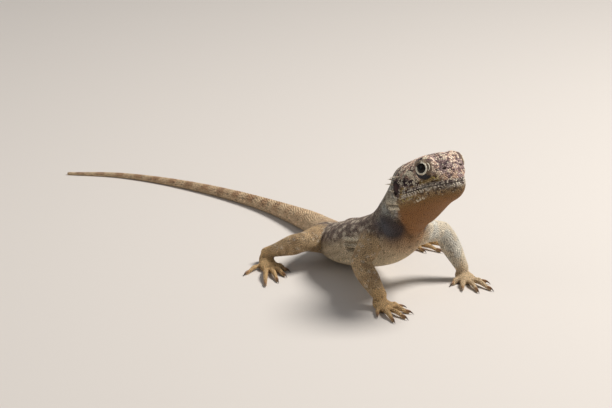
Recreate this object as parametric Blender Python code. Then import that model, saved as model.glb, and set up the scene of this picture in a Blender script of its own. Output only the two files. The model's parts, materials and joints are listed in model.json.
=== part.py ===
"""A central netted dragon at life size, propped on its forelegs with its head raised.

The animal is laid out in millimetres about its shoulders: +X is its left side, -Y is where
its body points, +Z is up and 0 is the floor. The head has its own axes: right, forward, up.
Every piece is a closed loft, cut clear of the piece that it grows from.
"""

import math

import bmesh
import bpy
import numpy as np
from mathutils import Matrix, Vector

MM = 0.001
GAP = 0.3  # between pieces that touch
UP = np.array([0.0, 0.0, 1.0])

# The head's axes and sizes. Its joint with the neck is at the back of the skull.
HEAD_AT = (-0.2, -4.6, 47.0)
HEAD_YAW = 5.5  # turned to the animal's left
HEAD_PITCH = 22.0
HEAD_ROLL = 0.5  # right side up
HEAD_LENGTH = 29.4
HEAD_SIDES = 38
SNOUT_ROUND_FROM = 21.5  # where the snout starts to round off
SNOUT_BLUNTNESS = 2.3
# forward, level of the mouth, half width, height above the mouth, depth below it
HEAD_STATIONS = (
    (0.0, -2.9, 10.6, 11.3, 13.8),
    (3.4, -2.9, 11.4, 11.8, 13.1),
    (7.5, -2.7, 11.6, 12.1, 11.6),
    (11.5, -2.4, 11.0, 12.2, 10.1),
    (16.0, -2.0, 9.6, 11.9, 8.8),
    (20.7, -1.9, 7.8, 11.2, 7.7),
    (25.3, -2.2, 6.2, 10.3, 6.7),
    (29.4, -2.6, 5.2, 9.4, 6.0),
)
MOUTH_CORNER = 10.0  # how far forward the corner of the mouth is
MOUTH_DEPTH = 0.8
MOUTH_FLARE = (1.6, 0.75)  # how far out the groove's cutter reaches, and its half width there

ORBIT_AT = (6.3, 19.2, 5.0)  # middle of the bulge that the eye and its lids make
ORBIT_SIZE = (4.6, 4.9, 4.6)
EYE_OUT = (0.93, 0.34, 0.10)  # which way the right eye looks
EYE_RADIUS = 2.5
EYE_PLACE = 2.3  # from the middle of the bulge to the middle of the eyeball
LID_PLACE = 4.2  # from the middle of the bulge to the ring that edges the lids
LID_RADIUS = 2.42
LID_THICKNESS = 0.45
EAR_AT = (11.1, 3.8, 0.2)
EAR_SIZE = (1.6, 2.1, 3.0)  # half sizes of the cup
EARDRUM_IN = 0.75  # how far the drum's middle lies within the cup's
EARDRUM_SIZE = (0.4, 1.35, 2.0)
NOSTRIL_AT = (3.9, 26.4, 3.4)
NOSTRIL_RADIUS = 0.62

# The neck, trunk and tail: place, half width, height above and depth below the middle.
SPINE = (
    ("neck_middle", (0.0, 0.6, 36.8), 9.6, 8.2, 13.2),
    ("neck_base", (0.0, 6.6, 29.4), 10.8, 7.0, 14.4),
    ("shoulders", (0.0, 12.8, 23.8), 12.4, 7.8, 13.6),
    ("ribs", (0.4, 22.0, 18.8), 13.4, 8.2, 12.6),
    ("belly", (1.5, 32.5, 14.2), 14.0, 8.2, 10.9),
    ("loins", (3.4, 43.5, 10.6), 12.8, 7.6, 9.6),
    ("hips", (6.0, 54.0, 7.9), 10.2, 6.2, 8.2),
    ("vent", (8.9, 63.0, 5.9), 7.6, 5.0, 6.2),
    ("tail_root", (11.2, 73.0, 4.9), 5.9, 4.5, 5.2),
    ("tail_a", (12.7, 86.0, 4.4), 4.8, 4.1, 4.7),
    ("tail_b", (12.9, 101.0, 3.6), 3.8, 3.4, 3.8),
    ("tail_c", (11.6, 120.0, 2.8), 2.9, 2.7, 2.9),
    ("tail_d", (7.2, 142.0, 2.25), 2.35, 2.2, 2.35),
    ("tail_e", (0.4, 163.0, 1.85), 1.9, 1.8, 1.95),
    ("tail_f", (-8.4, 182.5, 1.45), 1.5, 1.4, 1.55),
    ("tail_g", (-19.8, 200.0, 1.1), 1.15, 1.05, 1.2),
    ("tail_tip", (-37.0, 215.6, 0.7), 0.65, 0.6, 0.8),
)
SPINE_SIDES = 28
TAIL_SIDES = 16
NODE_SPANS = (
    ("neck", "head_back", "shoulders", 8),
    ("torso", "shoulders", "vent", 22),
    ("tail_1", "vent", "tail_b", 11),
    ("tail_2", "tail_b", "tail_d", 9),
    ("tail_3", "tail_d", "tail_f", 9),
    ("tail_4", "tail_f", "tail_tip", 9),
)

# Limb bones: start, end, then half width and half height at five places along them.
LIMB_SIDES = 12
UPPER_ARM_SIZES = ((6.0, 6.6), (5.4, 5.9), (4.4, 4.7), (4.1, 4.2), (3.6, 3.8))
FOREARM_SIZES = ((3.4, 3.6), (4.0, 4.1), (3.8, 3.9), (3.3, 3.2), (3.0, 2.6))
THIGH_SIZES = ((6.6, 6.6), (6.0, 6.0), (5.2, 5.2), (4.4, 4.5), (3.7, 3.9))
SHANK_SIZES = ((3.6, 3.8), (4.1, 4.2), (3.5, 3.5), (2.7, 2.7), (2.5, 2.3))

SHOULDER = {"right": (-7.5, 9.0, 23.4), "left": (8.2, 6.4, 23.6)}
ELBOW = {"right": (-18.6, 3.6, 16.4), "left": (24.6, 7.6, 20.4)}
WRIST = {"right": (-15.6, -6.2, 5.0), "left": (30.6, 2.2, 5.0)}
HAND_TURN = {"right": 3.0, "left": -8.0}  # degrees outwards from straight ahead
HIP = {"right": (0.0, 54.6, 8.6), "left": (11.6, 53.0, 8.6)}
KNEE = {"right": (-18.0, 44.6, 13.0), "left": (28.0, 38.4, 13.0)}
ANKLE = {"right": (-25.4, 61.6, 4.6), "left": (35.4, 55.4, 4.6)}
FOOT_TURN = {"right": 24.0, "left": 22.0}

# Digits from the inside out: length, degrees outwards, and where each leaves the palm.
DIGIT_SIDES = 6
CLAW_SIDES = 5
FINGERS = (
    (4.6, -58.0, (-2.6, 2.0)),
    (7.6, -31.0, (-1.9, 4.4)),
    (9.9, -8.0, (-0.2, 5.2)),
    (11.0, 12.0, (1.5, 4.8)),
    (6.2, 33.0, (2.5, 2.6)),
)
TOES = (
    (5.6, -42.0, (-2.6, 6.2)),
    (8.4, -22.0, (-1.7, 8.6)),
    (12.4, -5.0, (-0.3, 9.8)),
    (16.6, 9.0, (1.4, 9.8)),
    (10.0, 42.0, (2.7, 4.6)),
)
PALM = ((-1.6, 2.3, 2.2), (1.2, 3.3, 2.1), (3.8, 3.7, 1.8), (5.6, 3.0, 1.4))
SOLE = ((-1.8, 2.4, 2.3), (3.0, 3.1, 2.1), (7.6, 3.6, 1.8), (10.4, 2.9, 1.4))
DIGIT_RADIUS = (1.35, 1.2, 1.05, 1.1, 0.95)
# How far along a digit each ring is, and how thick there, so that the knuckles show.
DIGIT_SWELLS = ((-0.32, 0.9), (0.0, 1.05), (0.28, 1.0), (0.52, 1.08), (0.76, 0.93), (1.04, 0.7))
CLAW_LENGTH = 2.8
# Along a claw: place, thickness and height of its middle.
CLAW_CURVE = (
    (-0.35, 0.95, 1.08),
    (0.0, 1.0, 1.07),
    (0.35, 0.75, 1.10),
    (0.7, 0.44, 0.80),
    (1.0, 0.12, 0.16),
)
CLAW_RADIUS = 0.62

CREST_SPINES = 9
CREST_SPAN = (0.06, 0.86)  # over the neck, from the skull to the shoulders
CREST_HEIGHT = 2.5
CREST_RADIUS = 0.75
EAR_SPINES = ((0.4, 3.6), (-1.2, 3.3), (-2.6, 2.2), (1.7, 3.1))
EAR_SPINE_HEIGHT = 1.9

SKIN_TAN = (0.46, 0.37, 0.28)
SKIN_PALE = (0.62, 0.54, 0.42)
SKIN_HEAD = (0.40, 0.28, 0.22)
EYE_BLACK = (0.012, 0.010, 0.009)
EARDRUM_BROWN = (0.10, 0.05, 0.045)


def clear_scene():
    for thing in list(bpy.data.objects):
        bpy.data.objects.remove(thing, do_unlink=True)


def material(name, colour, roughness):
    made = bpy.data.materials.new(name)
    made.use_nodes = True
    shader = made.node_tree.nodes["Principled BSDF"]
    shader.inputs["Base Color"].default_value = (*colour, 1.0)
    shader.inputs["Roughness"].default_value = roughness
    shader.inputs["Metallic"].default_value = 0.0
    return made


def collection(name, hidden=False):
    made = bpy.data.collections.new(name)
    bpy.context.scene.collection.children.link(made)
    made.hide_render = hidden
    return made


def unit(vector):
    vector = np.asarray(vector, float)
    return vector / np.linalg.norm(vector)


def along(table, place):
    """A smooth curve through the rows of a table, whose first column is the place along it."""
    rows = np.asarray(table, float)
    xs, ys = rows[:, 0], rows[:, 1:]
    slopes = np.gradient(ys, xs, axis=0)
    k = int(np.clip(np.searchsorted(xs, place) - 1, 0, len(xs) - 2))
    span = xs[k + 1] - xs[k]
    t = min(max((place - xs[k]) / span, 0.0), 1.0)
    a, b = 2 * t**3 - 3 * t**2 + 1, t**3 - 2 * t**2 + t
    c, d = -2 * t**3 + 3 * t**2, t**3 - t**2
    return a * ys[k] + b * span * slopes[k] + c * ys[k + 1] + d * span * slopes[k + 1]


def head_axes():
    """The head's right, forward and up as rows, in the animal's frame."""
    yaw, pitch, roll = (math.radians(v) for v in (HEAD_YAW, HEAD_PITCH, HEAD_ROLL))
    level = np.array([math.sin(yaw), -math.cos(yaw), 0.0])
    forward = level * math.cos(pitch) + np.array([0, 0, math.sin(pitch)])
    right = np.cross(level, [0, 0, 1.0])
    up = np.cross(right, forward)
    tilted = right * math.cos(roll) + up * math.sin(roll)
    return np.array([tilted, forward, np.cross(tilted, forward)])


HEAD_AXES = head_axes()


def from_head(points):
    """Points from the head's axes to the animal's frame."""
    return np.asarray(points, float) @ HEAD_AXES + np.array(HEAD_AT)


def section(angles, half_width, above, below, square):
    """A rounded section about its middle: across, up."""
    c, s = np.cos(angles), np.sin(angles)
    across = half_width * np.sign(c) * np.abs(c) ** (2 / square)
    height = np.where(s > 0, above, below)
    return across, height * np.sign(s) * np.abs(s) ** (2 / square)


def head_section(forward, angles, grow=0.0):
    """One section of the head in its own axes, before its relief."""
    level, width, above, below = along(HEAD_STATIONS, forward)
    rounding = 1.0
    if forward > SNOUT_ROUND_FROM:
        share = (forward - SNOUT_ROUND_FROM) / (HEAD_LENGTH - SNOUT_ROUND_FROM)
        rounding = max(0.0, 1 - share**SNOUT_BLUNTNESS) ** (1 / SNOUT_BLUNTNESS)
    across, up = section(
        angles, width * rounding + grow, above * rounding + grow, below * rounding + grow, 2.45
    )
    # The sides lean in towards the flat crown, and the jaws narrow to the throat.
    lean = np.where(up > 0, 0.17 * up / max(above, 1e-6), -0.20 * up / max(below, 1e-6))
    across = across * (1 - np.clip(lean, 0, 1))
    return np.stack([across, np.full_like(across, forward), level + up], axis=1)


def bump(points, middle, sizes):
    """1 at the middle, falling to 0 over the three sizes."""
    away = (points - np.array(middle)) / np.array(sizes)
    return np.exp(-np.sum(away**2, axis=-1))


def head_relief(points):
    """How far each point of the head moves along its normal: brows, temples, cheeks and lips."""
    moved = np.zeros(points.shape[:-1])
    for side in (1, -1):
        local = points * np.array([side, 1, 1])
        moved += 1.10 * bump(local, (4.3, 18.4, 9.3), (1.9, 4.8, 1.7))  # brow ridge
        moved += 0.45 * bump(local, (5.6, 24.2, 6.6), (1.3, 3.0, 1.4))  # ridge to the nostril
        moved -= 0.80 * bump(local, (7.4, 24.6, 2.2), (1.8, 2.4, 2.2))  # hollow before the eye
        moved -= 0.50 * bump(local, (9.4, 17.6, -0.6), (2.0, 4.0, 1.0))  # hollow under the eye
        moved += 0.80 * bump(local, (10.4, 10.0, 4.6), (2.8, 4.2, 3.0))  # temple
        moved += 0.75 * bump(local, (11.6, 8.2, -4.6), (2.8, 4.8, 2.5))  # jaw muscle
        moved -= 0.60 * bump(local, (11.2, 5.2, 4.6), (2.2, 2.4, 1.3))  # groove over the ear
        moved += 0.35 * bump(local, (9.0, 16.4, -3.6), (1.8, 7.0, 1.0))  # lower lip
        moved += 0.35 * bump(local, (4.2, 26.4, 4.2), (1.3, 1.4, 1.3))  # swell of the nostril
    return moved


def row_normals(rings):
    """Outward normals of a grid of rings, from its neighbours in both directions."""
    next_side = np.roll(rings, -1, axis=1) - np.roll(rings, 1, axis=1)
    next_ring = np.gradient(rings, axis=0)
    normals = np.cross(next_side, next_ring)
    return normals / np.maximum(np.linalg.norm(normals, axis=2, keepdims=True), 1e-9)


def head_rings(forwards, grow=0.0):
    """The head's sections with their relief, in its own axes, from the neck to the snout."""
    angles = np.linspace(0, 2 * math.pi, HEAD_SIDES, endpoint=False)
    rings = np.array([head_section(f, angles, grow) for f in forwards])
    normals = row_normals(rings)
    middle = rings.mean(axis=1, keepdims=True)
    outward = np.sum(normals * (rings - middle))
    if outward < 0:
        normals = -normals
    return rings + normals * head_relief(rings)[..., None]


def mouth_path(count):
    """Points along the lips from the right corner round the snout to the left one."""
    right = []
    for turn in np.linspace(0, math.pi / 2, count):
        forward = MOUTH_CORNER + (HEAD_LENGTH - MOUTH_CORNER) * math.sin(turn)
        level, _, _, _ = along(HEAD_STATIONS, forward)
        across = head_section(min(forward, HEAD_LENGTH - 0.001), np.zeros(1))[0][0]
        right.append((across, forward, level))
    left = [(-x, y, z) for x, y, z in reversed(right[:-1])]
    return np.array(right[:-1] + [(0.0, HEAD_LENGTH, right[-1][2])] + left)


def mouth_wedge(home):
    """A thin wedge that opens a groove between the lips."""
    path = mouth_path(14)
    ahead = np.gradient(path, axis=0)
    outward = np.stack([ahead[:, 1], -ahead[:, 0], np.zeros(len(path))], axis=1)
    outward /= np.linalg.norm(outward, axis=1, keepdims=True)
    rings = []
    for place, out in zip(path, outward):
        inner, outer = place - out * MOUTH_DEPTH, place + out * MOUTH_FLARE[0]
        edge, flare = np.array([0, 0, 0.05]), np.array([0, 0, MOUTH_FLARE[1]])
        corners = [inner + edge, outer + flare, outer - flare, inner - edge]
        rings.append(from_head(corners))
    return loft("mouth_wedge", rings, None, home)


def head_forwards(count, tip=HEAD_LENGTH):
    """Places of the head's sections, closer together where the snout rounds off."""
    turn = np.linspace(0, 1, count)
    return tip * (0.35 * turn + 0.65 * np.sin(turn * math.pi / 2))


def new_object(name, points, faces, finish, home):
    mesh = bpy.data.meshes.new(name)
    mesh.from_pydata([tuple(p * MM) for p in np.asarray(points, float)], [], faces)
    bm = bmesh.new()
    bm.from_mesh(mesh)
    bmesh.ops.recalc_face_normals(bm, faces=bm.faces)
    bm.to_mesh(mesh)
    bm.free()
    mesh.shade_smooth()
    made = bpy.data.objects.new(name, mesh)
    if finish is not None:
        mesh.materials.append(finish)
    home.objects.link(made)
    return made


def loft(name, rings, finish, home):
    """A closed body through the rings, with a fan at each end."""
    count, sides = len(rings), len(rings[0])
    points = [p for ring in rings for p in ring]
    faces = []
    for r in range(count - 1):
        for s in range(sides):
            t = (s + 1) % sides
            faces.append((r * sides + s, r * sides + t, (r + 1) * sides + t, (r + 1) * sides + s))
    for ring, order in ((0, -1), (count - 1, 1)):
        points.append(np.mean(rings[ring], axis=0))
        hub = len(points) - 1
        start = ring * sides
        for s in range(sides):
            pair = (start + s, start + (s + 1) % sides)
            faces.append((hub, *pair[::order]))
    return new_object(name, points, faces, finish, home)


def spine_rows():
    """The spine's stations as rows, led by the back of the head, with their length along it."""
    level, width, above, below = along(HEAD_STATIONS, 0.0)
    start = from_head([0, 0, level])
    rows = [("head_back", start, width, above, below)]
    rows += [(name, np.array(at), w, a, b) for name, at, w, a, b in SPINE]
    lengths = [0.0]
    for before, after in zip(rows, rows[1:]):
        lengths.append(lengths[-1] + float(np.linalg.norm(after[1] - before[1])))
    return rows, lengths


SPINE_ROWS, SPINE_LENGTHS = spine_rows()
SPINE_TABLE = [
    (length, *row[1], row[2], row[3], row[4]) for length, row in zip(SPINE_LENGTHS, SPINE_ROWS)
]
SPINE_PLACE = {row[0]: length for row, length in zip(SPINE_ROWS, SPINE_LENGTHS)}
NECK_BLEND = SPINE_PLACE["shoulders"]


def spine_ring(place, sides, grow=0.0):
    """One section of the neck, trunk or tail, in the animal's frame."""
    row = along(SPINE_TABLE, place)
    step = 0.5
    ahead = along(SPINE_TABLE, place - step)[:3]
    behind = along(SPINE_TABLE, place + step)[:3]
    forward = unit(ahead - behind)
    # Over the neck the section turns from the head's axes to the trunk's own.
    share = min(1.0, place / NECK_BLEND)
    share = share * share * (3 - 2 * share)
    forward = unit(HEAD_AXES[1] * (1 - share) ** 2 + forward * (1 - (1 - share) ** 2))
    upright = unit(HEAD_AXES[2] * (1 - share) + np.array([0, 0, 1.0]) * share)
    right = unit(np.cross(forward, upright))
    up = np.cross(right, forward)
    angles = np.linspace(0, 2 * math.pi, sides, endpoint=False)
    square = 2.45 - 0.25 * share
    across, high = section(angles, row[3] + grow, row[4] + grow, row[5] + grow, square)
    lean = np.where(high > 0, 0.17 * high / row[4], -0.20 * high / row[5]) * (1 - share)
    across = across * (1 - np.clip(lean, 0, 1))
    return row[:3] + across[:, None] * right + high[:, None] * up


def spine_loft(name, start, end, count, sides, finish, home, grow=0.0):
    places = np.linspace(start, end, count)
    return loft(name, [spine_ring(p, sides, grow) for p in places], finish, home)


def circle(angles, one, other):
    """Points round a circle that the two vectors span."""
    return np.cos(angles)[:, None] * one + np.sin(angles)[:, None] * other


def limb_rings(start, end, sizes, grow=0.0, lengthen=0.0):
    """Rounded sections along a bone, closed with a dome at each end."""
    start, end = np.asarray(start, float), np.asarray(end, float)
    forward = unit(end - start)
    start, end = start - forward * lengthen, end + forward * lengthen
    right = unit(np.cross(forward, [0.0, 0.0, 1.0]))
    up = np.cross(right, forward)
    angles = np.linspace(0, 2 * math.pi, LIMB_SIDES, endpoint=False)
    length = float(np.linalg.norm(end - start))
    table = [(k / (len(sizes) - 1), *size) for k, size in enumerate(sizes)]
    rings = []

    def add(offset, share, scale):
        wide, high = along(table, share) + grow
        across, lift = section(angles, wide * scale, high * scale, high * scale, 2.1)
        rings.append(start + forward * offset + across[:, None] * right + lift[:, None] * up)

    dome = (75, 50, 25)
    for degrees in dome:
        reach = math.sin(math.radians(degrees)) * (sizes[0][0] + grow) * 0.8
        add(-reach, 0.0, math.cos(math.radians(degrees)))
    for share in np.linspace(0, 1, 9):
        add(share * length, share, 1.0)
    for degrees in reversed(dome):
        reach = math.sin(math.radians(degrees)) * (sizes[-1][0] + grow) * 0.8
        add(length + reach, 1.0, math.cos(math.radians(degrees)))
    return rings


def curved_digit(root, direction, length, radius):
    """Rings of one digit, arched over its knuckles and resting its tip on the floor."""
    side = unit(np.cross(direction, [0.0, 0.0, 1.0]))
    angles = np.linspace(0, 2 * math.pi, DIGIT_SIDES, endpoint=False)
    rings = []
    for place, swell in DIGIT_SWELLS:
        on = max(place, 0.0)
        arch = 0.9 * math.sin(math.pi * min(on, 1.0)) * length / 11.0
        thick = radius * swell * (1.0 - 0.22 * on)
        middle = root + direction * length * place
        middle[2] = max(thick - 0.15, 0.45) + arch - 0.9 * min(place, 0.0)
        rings.append(middle + thick * circle(angles, side, UP))
    return rings


def claw_rings(tip, direction):
    """Rings of one claw, which leaves the digit's end and curves down to the floor."""
    side = unit(np.cross(direction, [0.0, 0.0, 1.0]))
    angles = np.linspace(0, 2 * math.pi, CLAW_SIDES, endpoint=False)
    rings = []
    for place, size, high in CLAW_CURVE:
        middle = tip + direction * CLAW_LENGTH * place
        middle[2] = high
        rings.append(middle + CLAW_RADIUS * size * circle(angles, 0.8 * side, UP))
    return rings


def spine_cone(name, root, direction, height, radius, home, finish=None):
    """A spine of five sides, sunk in its root and bent a little back at the tip."""
    direction = unit(direction)
    side = unit(np.cross(direction, [0.31, 0.2, 0.93]))
    other = np.cross(direction, side)
    angles = np.linspace(0, 2 * math.pi, 5, endpoint=False)
    rings = []
    for share, scale in ((-0.45, 1.0), (0.35, 0.72), (1.0, 0.10)):
        middle = np.asarray(root) + direction * height * share
        rings.append(middle + radius * scale * circle(angles, side, other))
    return loft(name, rings, finish, home)


def apply_boolean(target, operation, other=None, group=None, solver="MANIFOLD"):
    modifier = target.modifiers.new(operation.lower(), "BOOLEAN")
    modifier.operation = operation
    modifier.solver = solver
    if group is not None:
        modifier.operand_type = "COLLECTION"
        modifier.collection = group
    else:
        modifier.object = other
    graph = bpy.context.evaluated_depsgraph_get()
    made = bpy.data.meshes.new_from_object(target.evaluated_get(graph))
    target.modifiers.clear()
    target.data = made


def keep_largest(target):
    """Leaves only the largest closed surface of a mesh."""
    bm = bmesh.new()
    bm.from_mesh(target.data)
    bmesh.ops.remove_doubles(bm, verts=bm.verts, dist=1e-6)
    left, best = set(bm.faces), []
    while left:
        stack, group = [left.pop()], []
        while stack:
            face = stack.pop()
            group.append(face)
            for edge in face.edges:
                for near in edge.link_faces:
                    if near in left:
                        left.remove(near)
                        stack.append(near)
        if len(group) > len(best):
            best = group
    kept = set(best)
    bmesh.ops.delete(bm, geom=[f for f in bm.faces if f not in kept], context="FACES")
    bm.to_mesh(target.data)
    bm.free()


def join_group(target, group):
    """Fuses the group's objects to the target, then removes them."""
    apply_boolean(target, "UNION", group=group)
    for thing in list(group.objects):
        bpy.data.objects.remove(thing, do_unlink=True)


def cut_by(target, *cutters):
    for cutter in cutters:
        apply_boolean(target, "DIFFERENCE", other=cutter)
    keep_largest(target)


def level_turn(side, degrees):
    """The way a hand or foot points: ahead, turned outwards by the degrees."""
    outwards = -1 if side == "right" else 1
    turn = math.radians(degrees)
    return np.array([outwards * math.sin(turn), -math.cos(turn), 0.0])


def build_paw(name, side, at, turn, stations, digits, finish, home, scrap):
    """A palm or sole with its digits and claws, as one body resting on the floor."""
    ahead = level_turn(side, turn)
    outwards = level_turn(side, turn + 90.0)
    start = np.array([at[0], at[1], 0.0])
    angles = np.linspace(0, 2 * math.pi, LIMB_SIDES, endpoint=False)
    first, last = stations[0], stations[-1]
    rows = [(first[0] - 1.3, first[1] * 0.45, first[2] * 0.45, first[2])]
    rows.append((first[0] - 0.9, first[1] * 0.8, first[2] * 0.8, first[2]))
    rows += [(place, wide, high, high - 0.25) for place, wide, high in stations]
    rows.append((last[0] + 1.0, last[1] * 0.55, last[2] * 0.6, last[2] - 0.25))
    rings = []
    for place, wide, high, level in rows:
        across, lift = section(angles, wide, high, high, 2.2)
        rings.append(start + ahead * place + across[:, None] * outwards + (lift + level)[:, None] * UP)
    paw = loft(name, rings, finish, home)
    for k, (length, degrees, (out, on)) in enumerate(digits):
        direction = level_turn(side, turn + degrees)
        root = start + outwards * out + ahead * on
        radius = DIGIT_RADIUS[k]
        loft(f"{name}_digit_{k}", curved_digit(root, direction, length, radius), None, scrap)
        loft(f"{name}_claw_{k}", claw_rings(root + direction * length, direction), None, scrap)
    join_group(paw, scrap)
    return paw


def build_limb(side, bones, sizes, paw, names, finish, home, trunk, floor, scrap, tools):
    """Two bones and a paw of one limb, each cut clear of what it grows from."""
    root, joint, end = bones
    turn, stations, digits = paw
    upper_name, lower_name, paw_name = (f"{n}_{side}" for n in names)
    upper = loft(upper_name, limb_rings(root, joint, sizes[0]), finish, home)
    upper_cutter = loft(upper_name + "_cutter", limb_rings(root, joint, sizes[0], GAP), None, tools)
    lower = loft(lower_name, limb_rings(joint, end, sizes[1]), finish, home)
    lower_cutter = loft(lower_name + "_cutter", limb_rings(joint, end, sizes[1], GAP), None, tools)
    paw = build_paw(paw_name, side, end, turn, stations, digits, finish, home, scrap)
    cut_by(upper, trunk, floor)
    cut_by(lower, upper_cutter, trunk, floor)
    cut_by(paw, lower_cutter, floor)
    return upper, lower, paw


def eye_at(side, out):
    """A point on the line that an eye looks along, that far from the middle of its bulge."""
    middle = np.array(ORBIT_AT) + out * unit(EYE_OUT)
    return from_head(middle * np.array([side, 1, 1]))


def eye_centre(side):
    return eye_at(side, EYE_PLACE)


def oval(name, middle, sizes, finish, home, sides=14, rings=9):
    """An egg with its half sizes along the head's axes."""
    made = bpy.data.meshes.new(name)
    bm = bmesh.new()
    bmesh.ops.create_uvsphere(bm, u_segments=sides, v_segments=rings, radius=1.0)
    for vert in bm.verts:
        local = np.array(vert.co) * np.array(sizes) @ HEAD_AXES
        vert.co = Vector((from_head(middle) + local) * MM)
    bmesh.ops.recalc_face_normals(bm, faces=bm.faces)
    bm.to_mesh(made)
    bm.free()
    made.shade_smooth()
    if finish is not None:
        made.materials.append(finish)
    thing = bpy.data.objects.new(name, made)
    home.objects.link(thing)
    return thing


def lid_ring(name, side, home):
    """The rounded edge of the lids, as a ring about the eye."""
    middle = eye_at(side, LID_PLACE)
    out = unit(unit(EYE_OUT) * np.array([side, 1, 1]) @ HEAD_AXES)
    across = unit(np.cross(out, HEAD_AXES[2]))
    upward = np.cross(across, out)
    turns = np.linspace(0, 2 * math.pi, 6, endpoint=False)
    points, faces, count = [], [], 20
    for k in range(count):
        way = 2 * math.pi * k / count
        spoke = math.cos(way) * across + math.sin(way) * upward
        for turn in turns:
            lift = math.cos(turn) * spoke + math.sin(turn) * out
            points.append(middle + LID_RADIUS * spoke + LID_THICKNESS * lift)
    for k in range(count):
        for m in range(len(turns)):
            a, b = k * len(turns), ((k + 1) % count) * len(turns)
            n = (m + 1) % len(turns)
            faces.append((a + m, a + n, b + n, b + m))
    return new_object(name, points, faces, None, home)


def ball(name, middle, radius, finish, home, sides=24, rings=16):
    made = bpy.data.meshes.new(name)
    bm = bmesh.new()
    bmesh.ops.create_uvsphere(bm, u_segments=sides, v_segments=rings, radius=radius * MM)
    bm.transform(Matrix.Translation(Vector(middle) * MM))
    bm.to_mesh(made)
    bm.free()
    made.shade_smooth()
    if finish is not None:
        made.materials.append(finish)
    thing = bpy.data.objects.new(name, made)
    home.objects.link(thing)
    return thing


def build_head(finish, home, scrap, tools):
    rings = [from_head(ring) for ring in head_rings(head_forwards(23, HEAD_LENGTH - 0.03))]
    head = loft("head", rings, finish, home)
    for side in (1, -1):
        flip = np.array([side, 1, 1])
        oval(f"orbit_{side}", ORBIT_AT * flip, ORBIT_SIZE, None, scrap)
        lid_ring(f"lid_{side}", side, scrap)
        for k, (on, up) in enumerate(EAR_SPINES):
            root = np.array([EAR_AT[0] - 0.5 - 0.1 * up, EAR_AT[1] + on, EAR_AT[2] + up]) * flip
            lean = np.array([0.75 * side, -0.55, 0.5]) @ HEAD_AXES
            spine_cone(f"ear_spine_{side}_{k}", from_head(root), lean, EAR_SPINE_HEIGHT, 0.62, scrap)
    join_group(head, scrap)
    cutters = [mouth_wedge(tools)]
    for side in (1, -1):
        flip = np.array([side, 1, 1])
        pit = (NOSTRIL_RADIUS,) * 3
        cutters.append(ball(f"socket_{side}", eye_centre(side), EYE_RADIUS + GAP, None, tools, 18, 10))
        cutters.append(oval(f"ear_cup_{side}", EAR_AT * flip, EAR_SIZE, None, tools, 18, 10))
        cutters.append(oval(f"nostril_{side}", NOSTRIL_AT * flip, pit, None, tools, 8, 6))
    cut_by(head, *cutters)
    return head


def build_ear(name, side, finish, home):
    """The eardrum: a thin oval plate, just clear of the bottom of its cup."""
    middle = np.array([EAR_AT[0] - EARDRUM_IN, EAR_AT[1], EAR_AT[2]]) * np.array([side, 1, 1])
    return oval(name, middle, EARDRUM_SIZE, finish, home, 16, 8)


def build_crest(neck, scrap):
    """The row of spines down the nape."""
    length = SPINE_PLACE["shoulders"]
    for k in range(CREST_SPINES):
        share = CREST_SPAN[0] + (CREST_SPAN[1] - CREST_SPAN[0]) * k / (CREST_SPINES - 1)
        ring = spine_ring(share * length, 4)
        top, middle = ring[1], ring.mean(axis=0)
        outward = unit(top - middle)
        back = unit(spine_ring(share * length + 1.0, 4)[1] - top)
        size = 0.62 + 0.38 * math.sin(math.pi * (0.15 + 0.8 * k / (CREST_SPINES - 1)))
        spine_cone(f"crest_{k}", top, outward + 0.8 * back, CREST_HEIGHT * size, CREST_RADIUS * size, scrap)
    join_group(neck, scrap)


def centre_over_origin(home):
    """Moves the animal so that the middle of its box is over the origin, on the floor."""
    corners = np.array([v.co for thing in home.objects for v in thing.data.vertices])
    low, high = corners.min(axis=0), corners.max(axis=0)
    shift = Vector((-(low[0] + high[0]) / 2, -(low[1] + high[1]) / 2, -low[2]))
    for thing in home.objects:
        thing.data.transform(Matrix.Translation(shift))


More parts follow.
